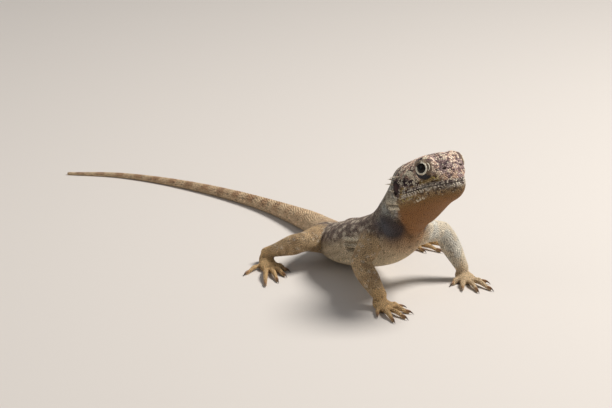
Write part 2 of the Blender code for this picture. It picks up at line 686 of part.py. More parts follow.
def main():
    clear_scene()
    home = collection("netted_dragon")
    tools = collection("cutters", hidden=True)
    scrap = collection("fused", hidden=True)
    body_skin = material("body_skin", SKIN_TAN, 0.65)
    limb_skin = material("limb_skin", SKIN_PALE, 0.65)
    head_skin = material("head_skin", SKIN_HEAD, 0.6)
    eye_finish = material("eye", EYE_BLACK, 0.08)
    ear_finish = material("eardrum", EARDRUM_BROWN, 0.45)

    floor = new_object(
        "floor_cutter",
        [(x, y, z) for x in (-120, 120) for y in (-120, 300) for z in (-40, 0)],
        [(0, 1, 3, 2), (4, 6, 7, 5), (0, 4, 5, 1), (2, 3, 7, 6), (0, 2, 6, 4), (1, 5, 7, 3)],
        None,
        tools,
    )
    trunk = spine_loft(
        "trunk_cutter", 0.5, SPINE_PLACE["tail_b"], 40, SPINE_SIDES, None, tools, grow=GAP
    )

    build_head(head_skin, home, scrap, tools)
    for side, name in ((1, "right"), (-1, "left")):
        ball(f"eye_{name}", eye_centre(side), EYE_RADIUS, eye_finish, home, 18, 12)
        build_ear(f"ear_{name}", side, ear_finish, home)

    for name, first, last, count in NODE_SPANS:
        start, end = SPINE_PLACE[first] + GAP, SPINE_PLACE[last]
        sides = TAIL_SIDES if name.startswith("tail") else SPINE_SIDES
        piece = spine_loft(name, start, end, count, sides, body_skin, home)
        if name == "neck":
            build_crest(piece, scrap)
        else:
            cut_by(piece, floor)

    for side in ("right", "left"):
        build_limb(
            side, (SHOULDER[side], ELBOW[side], WRIST[side]), (UPPER_ARM_SIZES, FOREARM_SIZES),
            (HAND_TURN[side], PALM, FINGERS), ("upper_arm", "forearm", "hand"), limb_skin, home,
            trunk, floor, scrap, tools,
        )
        build_limb(
            side, (HIP[side], KNEE[side], ANKLE[side]), (THIGH_SIZES, SHANK_SIZES),
            (FOOT_TURN[side], SOLE, TOES), ("thigh", "shank", "foot"), limb_skin, home,
            trunk, floor, scrap, tools,
        )
    for thing in tools.objects:
        thing.hide_render = True
        thing.display_type = "WIRE"
    centre_over_origin(home)


main()
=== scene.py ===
"""The looks of the netted dragon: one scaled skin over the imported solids, with its eyes, claws and spines.

Shapes are in millimetres in the animal's own frame, where +X is its left side, -Y is where its body
points and 0 is the floor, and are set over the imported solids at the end.
"""

import json
import math

import bmesh
import bpy
import numpy as np
from mathutils import Matrix, Vector
from mathutils.bvhtree import BVHTree
from mathutils.kdtree import KDTree

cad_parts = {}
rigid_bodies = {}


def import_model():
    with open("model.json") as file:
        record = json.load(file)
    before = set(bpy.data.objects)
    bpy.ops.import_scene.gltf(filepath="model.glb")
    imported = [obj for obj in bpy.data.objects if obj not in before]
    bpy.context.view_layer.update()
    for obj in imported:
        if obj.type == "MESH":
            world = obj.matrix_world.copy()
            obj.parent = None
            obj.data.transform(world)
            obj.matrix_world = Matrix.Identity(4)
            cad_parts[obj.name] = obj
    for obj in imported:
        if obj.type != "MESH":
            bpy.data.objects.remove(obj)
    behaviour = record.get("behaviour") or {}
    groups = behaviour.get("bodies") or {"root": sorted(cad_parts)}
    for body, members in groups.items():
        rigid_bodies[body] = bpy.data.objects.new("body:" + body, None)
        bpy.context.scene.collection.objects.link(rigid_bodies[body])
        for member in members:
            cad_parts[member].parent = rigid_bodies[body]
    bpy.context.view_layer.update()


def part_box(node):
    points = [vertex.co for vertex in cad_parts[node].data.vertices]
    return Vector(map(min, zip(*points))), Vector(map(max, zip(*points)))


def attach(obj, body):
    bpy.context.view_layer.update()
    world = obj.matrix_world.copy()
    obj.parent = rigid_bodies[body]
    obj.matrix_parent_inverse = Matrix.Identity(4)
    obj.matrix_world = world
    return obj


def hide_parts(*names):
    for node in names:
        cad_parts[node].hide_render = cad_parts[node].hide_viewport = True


MM = 0.001
UP = np.array([0.0, 0.0, 1.0])
SEED = 7
SIDES = ((1, "right"), (-1, "left"))

# The head's place, turns (yaw, pitch, roll) and sizes, as in the solids. Places on the head are
# right, forward and up from its back.
HEAD_AT = (-0.2, -4.6, 47.0)
HEAD_TURNS = (5.5, 22.0, 0.5)
HEAD_LENGTH = 29.4
SNOUT_ROUND_FROM = 21.5
SNOUT_BLUNTNESS = 2.3
BODY_SQUARE = 2.45
LEAN_IN = (0.17, 0.20)  # of the body's sides, above and below
# forward, level of the mouth, half width, height above the mouth, depth below it
HEAD_STATIONS = (
    (0.0, -2.9, 10.6, 11.3, 13.8),
    (3.4, -2.9, 11.4, 11.8, 13.1),
    (7.5, -2.7, 11.6, 12.1, 11.6),
    (11.5, -2.4, 11.0, 12.2, 10.1),
    (16.0, -2.0, 9.6, 11.9, 8.8),
    (20.7, -1.9, 7.8, 11.2, 7.7),
    (25.3, -2.2, 6.2, 10.3, 6.7),
    (29.4, -2.6, 5.2, 9.4, 6.0),
)
# How far the head's surface moves out, where, and over what sizes.
HEAD_RELIEF = (
    (1.10, (4.3, 18.4, 9.3), (1.9, 4.8, 1.7)),  # brow ridge
    (0.45, (5.6, 24.2, 6.6), (1.3, 3.0, 1.4)),  # ridge to the nostril
    (-0.80, (7.4, 24.6, 2.2), (1.8, 2.4, 2.2)),  # hollow before the eye
    (-0.50, (9.4, 17.6, -0.6), (2.0, 4.0, 1.0)),  # hollow under the eye
    (0.80, (10.4, 10.0, 4.6), (2.8, 4.2, 3.0)),  # temple
    (0.75, (11.6, 8.2, -4.6), (2.8, 4.8, 2.5)),  # jaw muscle
    (-0.60, (11.2, 5.2, 4.6), (2.2, 2.4, 1.3)),  # groove over the ear
    (0.35, (9.0, 16.4, -3.6), (1.8, 7.0, 1.0)),  # lower lip
    (0.35, (4.2, 26.4, 4.2), (1.3, 1.4, 1.3)),  # swell of the nostril
)
MOUTH_CORNER = 10.0
MOUTH_DEPTH = 0.8
MOUTH_FLARE = (1.6, 0.42)

ORBIT_AT = (6.3, 19.2, 5.0)
ORBIT_SIZE = (4.6, 4.9, 4.6)
SNOUT_SWELLS = (
    ("orbit_front", (5.6, 22.8, 3.2), (2.2, 3.2, 3.2)),
    ("orbit_muzzle", (4.7, 24.6, 1.5), (1.9, 2.6, 2.6)),
)
EYE_OUT = (0.93, 0.34, 0.10)
EYE_RADIUS = 2.5
EYE_PLACE = 2.3
LID_PLACE = 3.95
LID_RADIUS = 2.15
LID_THICKNESS = 0.34
LID_STEPS = 208  # round the ring of the lids
LID_AROUND = 16  # round its section
LID_BEADS = 26
LID_FOLD_FROM = math.pi - 0.60
LID_FOLD_SPAN = 1.10
LID_FOLD_AROUND = 12
LID_FOLD_THICKNESS = 0.22
LID_DARK_TURN = 1.05
PUPIL = 20.0  # degrees from the way the eye looks
IRIS_EDGE = (33.0, 38.0)
EAR_AT = (11.1, 3.8, 0.2)
EAR_SIZE = (1.6, 2.1, 3.0)
EARDRUM_IN = 0.75
EARDRUM_SIZE = (0.4, 1.95, 2.8)
NOSTRIL_AT = (3.9, 26.4, 3.4)
NOSTRIL_SIZE = (1.2, 0.60, 0.50)

# The neck, trunk and tail: middle, half width, height above and depth below it.
SPINE = (
    ("neck_middle", (0.0, 0.6, 36.8), 9.6, 8.2, 13.2),
    ("neck_base", (0.0, 6.6, 29.4), 10.8, 7.0, 14.4),
    ("shoulders", (0.0, 12.8, 23.8), 12.4, 7.8, 13.6),
    ("ribs", (0.4, 22.0, 18.8), 13.4, 8.2, 12.6),
    ("belly", (1.5, 32.5, 14.2), 14.0, 8.2, 10.9),
    ("loins", (3.4, 43.5, 10.6), 12.8, 7.6, 9.6),
    ("hips", (6.0, 54.0, 7.9), 10.2, 6.2, 8.2),
    ("vent", (8.9, 63.0, 5.9), 7.6, 5.0, 6.2),
    ("tail_root", (11.2, 73.0, 4.9), 5.9, 4.5, 5.2),
    ("tail_a", (12.7, 86.0, 4.4), 4.8, 4.1, 4.7),
    ("tail_b", (12.9, 101.0, 3.6), 3.8, 3.4, 3.8),
    ("tail_c", (11.6, 120.0, 2.8), 2.9, 2.7, 2.9),
    ("tail_d", (7.2, 142.0, 2.25), 2.35, 2.2, 2.35),
    ("tail_e", (0.4, 163.0, 1.85), 1.9, 1.8, 1.95),
    ("tail_f", (-8.4, 182.5, 1.45), 1.5, 1.4, 1.55),
    ("tail_g", (-19.8, 200.0, 1.1), 1.15, 1.05, 1.2),
    ("tail_tip", (-37.0, 215.6, 0.7), 0.65, 0.6, 0.8),
)

SHOULDER = {"right": (-7.5, 9.0, 23.4), "left": (8.2, 6.4, 23.6)}
ELBOW = {"right": (-18.6, 3.6, 16.4), "left": (24.6, 7.6, 20.4)}
WRIST = {"right": (-15.6, -6.2, 5.0), "left": (30.6, 2.2, 5.0)}
HIP = {"right": (0.0, 54.6, 8.6), "left": (11.6, 53.0, 8.6)}
KNEE = {"right": (-18.0, 44.6, 13.0), "left": (28.0, 38.4, 13.0)}
ANKLE = {"right": (-25.4, 61.6, 4.6), "left": (35.4, 55.4, 4.6)}
HAND_TURN = {"right": 3.0, "left": -8.0}
FOOT_TURN = {"right": 24.0, "left": 22.0}
# Each length of the legs, with its half sizes across and up from end to end.
LIMBS = (
    ("upper_arm", SHOULDER, ELBOW, ((6.0, 6.6), (5.4, 5.9), (4.4, 4.7), (4.1, 4.2), (3.6, 3.8))),
    ("forearm", ELBOW, WRIST, ((3.4, 3.6), (4.0, 4.1), (3.8, 3.9), (3.3, 3.2), (3.0, 2.6))),
    ("thigh", HIP, KNEE, ((6.6, 6.6), (6.0, 6.0), (5.2, 5.2), (4.4, 4.5), (3.7, 3.9))),
    ("shank", KNEE, ANKLE, ((3.6, 3.8), (4.1, 4.2), (3.5, 3.5), (2.7, 2.7), (2.5, 2.3))),
)
# Stations ahead of the wrist or ankle: place, half width, half height.
PALM = ((-1.6, 2.3, 2.2), (1.2, 3.3, 2.1), (3.8, 3.7, 1.8), (5.6, 3.0, 1.4))
SOLE = ((-1.8, 2.4, 2.3), (3.0, 3.1, 2.1), (7.6, 3.6, 1.8), (10.4, 2.9, 1.4))
# Digits from the inside out: length, degrees outwards, and where each leaves the palm.
FINGERS = (
    (4.6, -58.0, (-2.6, 2.0)),
    (7.6, -31.0, (-1.9, 4.4)),
    (9.9, -8.0, (-0.2, 5.2)),
    (11.0, 12.0, (1.5, 4.8)),
    (6.2, 33.0, (2.5, 2.6)),
)
TOES = (
    (5.6, -42.0, (-2.6, 6.2)),
    (8.4, -22.0, (-1.7, 8.6)),
    (12.4, -5.0, (-0.3, 9.8)),
    (16.6, 9.0, (1.4, 9.8)),
    (10.0, 42.0, (2.7, 4.6)),
)
PAWS = (("hand", WRIST, HAND_TURN, PALM, FINGERS, 5.0), ("foot", ANKLE, FOOT_TURN, SOLE, TOES, 9.0))
DIGIT_RADIUS = (1.35, 1.2, 1.05, 1.1, 0.95)
DIGIT_SWELLS = ((-0.32, 0.9), (0.0, 1.05), (0.28, 1.0), (0.52, 1.08), (0.76, 0.93), (1.04, 0.7))
CLAW_LENGTH = 2.8
CLAW_RADIUS = 0.62
# place along the claw, share of its radius, level
CLAW_CURVE = (
    (-0.35, 0.95, 1.08),
    (0.0, 1.0, 1.07),
    (0.35, 0.75, 1.10),
    (0.7, 0.44, 0.80),
    (1.0, 0.12, 0.16),
)
CREST_SPINES = 13
CREST_SPAN = (0.03, 0.92)
CREST_HEIGHT = 2.4
CREST_RADIUS = 0.62
# forward and up of the ear, and height
EAR_SPINES = ((0.9, 4.0, 2.0), (-0.8, 4.4, 0.9), (-2.4, 1.8, 2.3), (-2.9, -0.6, 1.1), (-2.8, 3.8, 1.0))

VOXEL = 0.34  # of the skin's mesh
VOXEL_PUSHES = (0.5, -0.53) * 4  # towards the neighbours and back, to smooth out the voxels' steps
JOINT_PULL = 0.65
JOINT_PASSES = 26
SKIN_SINK = 0.10  # the skin lies this far inside the solids, and the scales rise over it
FLOOR_CLEAR = 0.02
# How widely a form's joint with its neighbours is smoothed.
JOINT_WIDTHS = {"digit": 0.8, "hand": 1.4, "foot": 1.4, "orbit": 1.5}
BROAD_JOINT = 3.2

# Folds of the skin: points along each fold, its half width, and how deep it goes. Less than
# nothing is a raised one. These are places along the body and degrees round it.
BODY_FOLDS = (
    # across the throat
    (((5.5, -10), (4.3, -31), (5.8, -50), (9.2, -77), (9.6, -90)), 1.2, 0.85),
    # in front of the forelegs
    (((12.6, -22), (14.2, -42), (14.6, -62), (16.4, -90)), 1.0, 0.45),
    # down the side of the neck to the shoulder
    (((11.0, 44), (13.6, 18), (15.5, -4), (17.4, -19), (19.2, -30)), 0.8, 0.6),
    (((7.4, 38), (8.6, 18), (9.2, 0)), 0.6, 0.4),
    # behind the forelegs: a raised fold, and a slit under the next one
    (((38.0, 5), (35.5, 1), (30.5, -3), (25.0, -7)), 0.8, -0.7),
    (((38.0, -2), (33.5, -6), (28.5, -10)), 0.5, 0.6),
    (((40.5, -5), (36.4, -9), (32.0, -13), (28.0, -17)), 0.7, -0.8),
    (((38.8, -11), (35.5, -17), (31.6, -23)), 0.65, 1.9),
    # along the flank
    (((41.0, -15), (46.0, -21), (52.0, -27), (60.0, -29)), 0.8, 0.5),
    (((39.0, -31), (46.0, -39), (54.0, -45)), 0.8, 0.5),
    (((40.0, 8), (47.0, 2), (55.0, -4), (63.0, -8)), 0.9, 0.4),
)
# The same on the head, in its own axes, on the right side and mirrored to the left.
HEAD_FOLDS = (
    # over the upper lip, from under the eye to the snout
    (
        ((10.0, 14.6, -1.6), (8.6, 18.5, -1.3), (7.4, 21.1, -0.6), (6.2, 23.7, -0.5), (4.9, 26.0, -0.4)),
        0.46, 0.95,
    ),
    # under the eye
    (((9.2, 14.0, 1.8), (9.4, 17.5, 0.7), (8.8, 21.0, 1.0), (7.2, 23.8, 1.9)), 0.5, 0.45),
    # behind the eye, over the temple
    (((10.2, 13.6, 5.2), (10.9, 10.6, 3.0), (11.4, 8.0, 1.8)), 0.6, 0.4),
    # the edge of the brow
    (((8.7, 14.6, 7.2), (9.9, 17.4, 8.3), (9.6, 20.6, 8.2), (8.2, 23.2, 6.9)), 0.6, -0.25),
    # over the ear
    (
        (
            (10.7, 0.8, 2.4), (10.8, 2.2, 3.6), (11.0, 4.6, 3.8),
            (11.1, 6.4, 2.4), (11.3, 8.3, 1.0), (11.5, 10.4, -0.4),
        ),
        0.65, -1.0,
    ),
    # from the corner of the mouth towards the ear
    (((11.2, 10.2, -2.9), (11.8, 7.8, -3.2), (11.9, 6.4, -3.6)), 0.4, 0.6),
    # two pale folds from the neck to the back of the jaw, and the groove between them
    (((8.4, -7.2, -3.4), (9.6, -3.7, -4.3), (10.4, 0.0, -5.1), (11.2, 4.6, -5.6)), 0.9, -0.9),
    (((8.8, -6.2, -5.2), (9.8, -1.6, -6.2), (10.6, 3.0, -6.8)), 0.5, 0.7),
    (((8.8, -7.0, -6.8), (9.5, -3.6, -7.3), (9.9, 0.0, -7.7), (10.0, 3.4, -8.0)), 0.6, -0.35),
    # from the ear to the back of the jaw
    (((11.7, 5.6, -2.9), (11.4, 4.0, -3.6), (10.8, 1.2, -3.4)), 0.5, 0.5),
)


def srgb(red, green, blue):
    """A colour as a screen gives it, 0 to 255, as linear light."""
    share = np.array([red, green, blue], float) / 255
    return np.where(share <= 0.04045, share / 12.92, ((share + 0.055) / 1.055) ** 2.4)


def unit(vector):
    vector = np.asarray(vector, float)
    return vector / np.linalg.norm(vector)


def units(vectors):
    return vectors / np.maximum(np.linalg.norm(vectors, axis=-1, keepdims=True), 1e-9)


def flip(side):
    """What brings a place on the right side to the side given, 1 or -1."""
    return np.array([side, 1, 1])


def turns(count):
    """Even turns round a circle."""
    return np.linspace(0, 2 * math.pi, count, endpoint=False)


def circle(angles, one, other):
    return np.cos(angles)[:, None] * one + np.sin(angles)[:, None] * other


def ramp(value, low, high):
    """0 below low, 1 above high, smooth between."""
    t = np.clip((value - low) / (high - low), 0, 1)
    return t * t * (3 - 2 * t)


def mix(a, b, share):
    """From colour a to colour b, each one colour or one a point."""
    share = np.asarray(share)[..., None]
    return np.asarray(a) * (1 - share) + np.asarray(b) * share


def lattice(cells, salt):
    """A fixed random number, 0 to 1, for each whole-numbered cell."""
    x, y, z = (cells[..., k].astype(np.int64) for k in range(3))
    h = (x * 73856093) ^ (y * 19349663) ^ (z * 83492791) ^ (salt * 2654435761)
    h = (h ^ (h >> 13)) * 1274126177
    h = (h ^ (h >> 16)) & 0xFFFFFF
    return h / float(0xFFFFFF)


def noise(points, size, salt):
    """Soft noise, 0 to 1, with features of that size in millimetres."""
    place = points / size
    cell = np.floor(place)
    t = place - cell
    t = t * t * (3 - 2 * t)
    total = np.zeros(len(points))
    for corner in np.ndindex(2, 2, 2):
        total += lattice(cell + np.array(corner), salt) * np.prod(np.where(corner, t, 1 - t), axis=1)
    return total


def patchy(points, size, salt, low, high):
    """Where that noise rises from low to high, 0 to 1."""
    return ramp(noise(points, size, salt), low, high)


def spots(points, size, salt):
    """Distance to the nearest spot's middle and how much further the next is, in spot sizes."""
    place = points / size
    cell = np.floor(place)
    first = np.full(len(points), 9.0)
    second = first.copy()
    for step in np.ndindex(3, 3, 3):
        near = cell + np.array(step) - 1
        jitter = np.stack([lattice(near, salt + k) for k in (1, 2, 3)], axis=1)
        away = np.linalg.norm(near + 0.15 + 0.7 * jitter - place, axis=1)
        second = np.minimum(second, np.maximum(first, away))
        first = np.minimum(first, away)
    return first, second - first


def along(table, place):
    """A smooth curve through the rows of a table, whose first column is the place along it."""
    rows = np.asarray(table, float)
    xs, ys = rows[:, 0], rows[:, 1:]
    slopes = np.gradient(ys, xs, axis=0)
    k = int(np.clip(np.searchsorted(xs, place) - 1, 0, len(xs) - 2))
    span = xs[k + 1] - xs[k]
    t = min(max((place - xs[k]) / span, 0.0), 1.0)
    a, b = 2 * t**3 - 3 * t**2 + 1, t**3 - 2 * t**2 + t
    c, d = -2 * t**3 + 3 * t**2, t**3 - t**2
    return a * ys[k] + b * span * slopes[k] + c * ys[k + 1] + d * span * slopes[k + 1]


def head_axes():
    """The head's right, forward and up as rows, in the animal's frame."""
    yaw, pitch, roll = (math.radians(v) for v in HEAD_TURNS)
    level = np.array([math.sin(yaw), -math.cos(yaw), 0.0])
    forward = level * math.cos(pitch) + np.array([0, 0, math.sin(pitch)])
    right = np.cross(level, UP)
    up = np.cross(right, forward)
    tilted = right * math.cos(roll) + up * math.sin(roll)
    return np.array([tilted, forward, np.cross(tilted, forward)])


HEAD_AXES = head_axes()


def from_head(points):
    return np.asarray(points, float) @ HEAD_AXES + np.array(HEAD_AT)


def on_side(place, side):
    """A place on the right of the head, brought to the side given, in the animal's frame."""
    return from_head(np.array(place) * flip(side))


def to_head(points):
    return (np.asarray(points, float) - np.array(HEAD_AT)) @ HEAD_AXES.T


def section(angles, half_width, above, below, square):
    """A rounded section about its middle: across, up."""
    c, s = np.cos(angles), np.sin(angles)
    across = half_width * np.sign(c) * np.abs(c) ** (2 / square)
    return across, np.where(s > 0, above, below) * np.sign(s) * np.abs(s) ** (2 / square)


def body_section(angles, sizes, grow, rounding=1.0, share=0.0):
    """A section whose sides lean in above and below, less so as share nears 1."""
    width, above, below = (size * rounding + grow for size in sizes)
    across, up = section(angles, width, above, below, BODY_SQUARE - 0.25 * share)
    lean = np.where(up > 0, LEAN_IN[0] * up / sizes[1], -LEAN_IN[1] * up / sizes[2]) * (1 - share)
    return across * (1 - np.clip(lean, 0, 1)), up


def head_section(forward, angles, grow=0.0):
    level, *sizes = along(HEAD_STATIONS, forward)
    rounding = 1.0
    if forward > SNOUT_ROUND_FROM:
        share = (forward - SNOUT_ROUND_FROM) / (HEAD_LENGTH - SNOUT_ROUND_FROM)
        rounding = max(0.0, 1 - share**SNOUT_BLUNTNESS) ** (1 / SNOUT_BLUNTNESS)
    across, up = body_section(angles, sizes, grow, rounding)
    return np.stack([across, np.full_like(across, forward), level + up], axis=1)


def head_relief(points):
    """How far each point of the head moves along its normal."""
    moved = np.zeros(points.shape[:-1])
    for side, _ in SIDES:
        for height, middle, sizes in HEAD_RELIEF:
            away = (points * flip(side) - np.array(middle)) / np.array(sizes)
            moved += height * np.exp(-np.sum(away**2, axis=-1))
    return moved


def head_rings(forwards):
    rings = np.array([head_section(f, turns(96), -SKIN_SINK) for f in forwards])
    next_side = np.roll(rings, -1, axis=1) - np.roll(rings, 1, axis=1)
    normals = units(np.cross(next_side, np.gradient(rings, axis=0)))
    if np.sum(normals * (rings - rings.mean(axis=1, keepdims=True))) <= 0:
        normals = -normals
    return rings + normals * head_relief(rings)[..., None]


def mouth_path(count):
    """Points along the lips from the right corner round the snout to the left one."""
    right = []
    for turn in np.linspace(0, math.pi / 2, count):
        forward = MOUTH_CORNER + (HEAD_LENGTH - MOUTH_CORNER) * math.sin(turn)
        across = head_section(min(forward, HEAD_LENGTH - 0.001), np.zeros(1))[0][0]
        right.append((across, forward, along(HEAD_STATIONS, forward)[0]))
    left = [(-x, y, z) for x, y, z in reversed(right[:-1])]
    return np.array(right[:-1] + [(0.0, HEAD_LENGTH, right[-1][2])] + left)


def spine_table():
    """The place of each station along the body, led by the back of the head, and all as a table."""
    level, *sizes = along(HEAD_STATIONS, 0.0)
    rows = [("head_back", from_head([0, 0, level]), *sizes)]
    rows += [(name, np.array(at), *sizes) for name, at, *sizes in SPINE]
    places = [0.0]
    for before, after in zip(rows, rows[1:]):
        places.append(places[-1] + float(np.linalg.norm(after[1] - before[1])))
    named = {row[0]: place for row, place in zip(rows, places)}
    return named, [(place, *row[1], *row[2:]) for place, row in zip(places, rows)]


SPINE_PLACE, SPINE_TABLE = spine_table()
NECK_BLEND = SPINE_PLACE["shoulders"]
TAIL_END = SPINE_PLACE["tail_tip"]


def on_tail(place):
    """0 on the trunk, 1 on the tail."""
    return ramp(place, SPINE_PLACE["hips"], SPINE_PLACE["tail_root"])


def spine_frame(place):
    """The station, right, forward, up and share of the neck's blend at a place along the body."""
    row = along(SPINE_TABLE, place)
    ahead = along(SPINE_TABLE, place - 0.5)[:3]
    behind = along(SPINE_TABLE, place + 0.5)[:3]
    share = ramp(place, 0.0, NECK_BLEND)
    forward = unit(HEAD_AXES[1] * (1 - share) ** 2 + unit(ahead - behind) * (1 - (1 - share) ** 2))
    upright = unit(HEAD_AXES[2] * (1 - share) + UP * share)
    right = unit(np.cross(forward, upright))
    return row, right, forward, np.cross(right, forward), share


def spine_ring(place, angles, grow=0.0):
    row, right, _, up, share = spine_frame(place)
    across, high = body_section(angles, row[3:], grow, share=share)
    return row[:3] + across[:, None] * right + high[:, None] * up


def bone_axes(start, end):
    """The way along a bone and two ways across it."""
    forward = unit(end - start)
    right = unit(np.cross(forward, UP))
    return forward, right, np.cross(right, forward)


def limb_rings(start, end, sizes):
    """Rounded sections along a bone, closed with a dome at each end."""
    forward, right, up = bone_axes(start, end)
    length = float(np.linalg.norm(end - start))
    table = [(k / (len(sizes) - 1), *size) for k, size in enumerate(sizes)]
    dome = [(math.sin(turn), math.cos(turn)) for turn in map(math.radians, (80, 65, 50, 35, 20))]
    stations = [(-reach * sizes[0][0] * 0.8, 0.0, scale) for reach, scale in dome]
    stations += [(share * length, share, 1.0) for share in np.linspace(0, 1, 30)]
    stations += [(length + reach * sizes[-1][0] * 0.8, 1.0, scale) for reach, scale in reversed(dome)]
    rings = []
    for offset, share, scale in stations:
        wide, high = along(table, share) - SKIN_SINK
        across, lift = section(turns(36), wide * scale, high * scale, high * scale, 2.1)
        rings.append(start + forward * offset + across[:, None] * right + lift[:, None] * up)
    return rings


def level_turn(side, degrees):
    """The way a hand or foot points: ahead, turned outwards by the degrees."""
    turn = math.radians(degrees)
    return np.array([-side * math.sin(turn), -math.cos(turn), 0.0])


def digit_rings(root, direction, length, radius):
    """Rings of one digit, arched over its knuckles and resting its tip on the floor."""
    side = unit(np.cross(direction, UP))
    rings = []
    for place in np.linspace(DIGIT_SWELLS[0][0], DIGIT_SWELLS[-1][0], 26):
        on = max(place, 0.0)
        arch = 0.9 * math.sin(math.pi * min(on, 1.0)) * length / 11.0
        thick = radius * along(DIGIT_SWELLS, place)[0] * (1.0 - 0.22 * on)
        middle = root + direction * length * place
        middle[2] = max(thick - 0.15, 0.45) + arch - 0.9 * min(place, 0.0)
        rings.append(middle + (thick - SKIN_SINK) * circle(turns(16), side, UP))
    middle = rings[-1].mean(axis=0)
    for reach, scale in ((0.3, 0.8), (0.5, 0.45)):
        rings.append(middle + direction * reach + (rings[-1] - rings[-1].mean(axis=0)) * scale)
    return rings


def palm_rings(start, ahead, outwards, stations):
    (first, wide, high), (last, end_wide, end_high) = stations[0], stations[-1]
    rows = [(first - 1.3, wide * 0.45, high * 0.45, high), (first - 0.9, wide * 0.8, high * 0.8, high)]
    rows += [(place, wide, high, high - 0.25) for place, wide, high in stations]
    rows.append((last + 1.0, end_wide * 0.55, end_high * 0.6, end_high - 0.25))
    rings = []
    for place in np.linspace(rows[0][0], rows[-1][0], 16):
        wide, high, level = along(rows, place)
        across, lift = section(turns(36), wide, high, high, 2.2)
        rings.append(start + ahead * place + across[:, None] * outwards + (lift + level)[:, None] * UP)
    return rings


def limb_forms():
    """The name, start, end and rings of each length of the legs, each hand, foot and digit."""
    for side, hand in SIDES:
        for name, start, end, sizes in LIMBS:
            start, end = np.array(start[hand]), np.array(end[hand])
            yield f"{name}_{hand}", start, end, limb_rings(start, end, sizes)
        for name, at, turn, stations, digits, tip in PAWS:
            ahead, outwards = level_turn(side, turn[hand]), level_turn(side, turn[hand] + 90.0)
            start = np.array([*at[hand][:2], 0.0])
            rings = palm_rings(start, ahead, outwards, stations)
            yield f"{name}_{hand}", start, start + ahead * tip, rings
            for k, (length, degrees, (out, on)) in enumerate(digits):
                root = start + outwards * out + ahead * on
                way = level_turn(side, turn[hand] + degrees)
                rings = digit_rings(root, way, length, DIGIT_RADIUS[k])
                yield f"{name}_{hand}_digit_{k}", root, root + way * length, rings


def loft_faces(count, sides, offset=0):
    """Quads between rings, and a fan at each end about the two points that follow them."""
    faces = []
    for r in range(count - 1):
        for s in range(sides):
            t = (s + 1) % sides
            a, b = offset + r * sides, offset + (r + 1) * sides
            faces.append((a + s, a + t, b + t, b + s))
    for ring, hub, order in ((0, count * sides, -1), (count - 1, count * sides + 1, 1)):
        for s in range(sides):
            pair = (offset + ring * sides + s, offset + ring * sides + (s + 1) % sides)
            faces.append((offset + hub, *pair[::order]))
    return faces


def loft_points(rings):
    ends = [np.mean(rings[0], axis=0), np.mean(rings[-1], axis=0)]
    return np.concatenate([np.concatenate(rings), np.array(ends)])


def eye_at(side, out):
    """A point on the line that an eye looks along, that far from the middle of its bulge."""
    return on_side(np.array(ORBIT_AT) + out * unit(EYE_OUT), side)


def eye_axes(side):
    """Two directions across the way an eye looks, and that way."""
    out = unit(unit(EYE_OUT) * flip(side) @ HEAD_AXES)
    across = unit(np.cross(out, HEAD_AXES[2]))
    return np.array([across, np.cross(across, out), out])


def egg(middle, sizes, axes, sides=32, rows=20):
    """Points and faces of an egg with its half sizes along the three axes."""
    rings = []
    for turn in np.linspace(0.04, math.pi - 0.04, rows):
        local = math.sin(turn) * circle(turns(sides), *np.eye(3)[:2]) + math.cos(turn) * UP
        rings.append(middle + (local * np.array(sizes)) @ axes)
    return loft_points(rings), loft_faces(rows, sides)


def new_mesh(name, points, faces):
    mesh = bpy.data.meshes.new(name)
    mesh.from_pydata(np.asarray(points, float).tolist(), [], [tuple(f) for f in faces])
    bm = bmesh.new()
    bm.from_mesh(mesh)
    bmesh.ops.recalc_face_normals(bm, faces=bm.faces)
    bm.to_mesh(mesh)
    bm.free()
    mesh.shade_smooth()
    return mesh


def new_object(name, data, finish=None):
    made = bpy.data.objects.new(name, data)
    bpy.context.scene.collection.objects.link(made)
    if finish is not None:
        data.materials.clear()
        data.materials.append(finish)
    return made


def evaluated_mesh(thing):
    graph = bpy.context.evaluated_depsgraph_get()
    return bpy.data.meshes.new_from_object(thing.evaluated_get(graph))


def read_rows(items, key, width, kind):
    """A value of every vertex, edge or triangle of a mesh, one row each."""
    flat = np.empty(len(items) * width, kind)
    items.foreach_get(key, flat)
    return flat.reshape(-1, width)


def mesh_points(mesh):
    return read_rows(mesh.vertices, "co", 3, np.float32).astype(float)


def set_points(mesh, points):
    mesh.vertices.foreach_set("co", points.astype(np.float32).ravel())
    mesh.update()


def point_normals(points, triangles):
    a, b, c = (points[triangles[:, k]] for k in range(3))
    face = np.cross(b - a, c - a)
    total = np.zeros_like(points)
    for k in range(3):
        for axis in range(3):
            total[:, axis] += np.bincount(triangles[:, k], face[:, axis], len(points))
    return units(total)


def neighbour_means(points, edges, degree):
    total = np.empty_like(points)
    for axis in range(3):
        total[:, axis] = np.bincount(edges[:, 0], points[edges[:, 1], axis], len(points))
        total[:, axis] += np.bincount(edges[:, 1], points[edges[:, 0], axis], len(points))
    return total / degree[:, None]


def tree_of(points):
    tree = KDTree(len(points))
    for k, p in enumerate(points.tolist()):
        tree.insert(p, k)
    tree.balance()
    return tree


def nearest_of(tree, points):
    """Which of a tree's points is nearest to each point."""
    return [tree.find(p)[1] for p in points.tolist()]


# Painted light: the left foreleg, on which the light falls, is painted paler and blue-white.
LIGHT_PALED_FORMS = {"upper_arm_left": 1.0, "forearm_left": 1.0, "hand_left": 0.6}


def kind_of(name):
    if name in ("head", "spine"):
        return name
    if name.startswith("orbit"):
        return "head"
    if "digit" in name:
        return "digit"
    return "paw" if name.startswith(("hand", "foot")) else "limb"


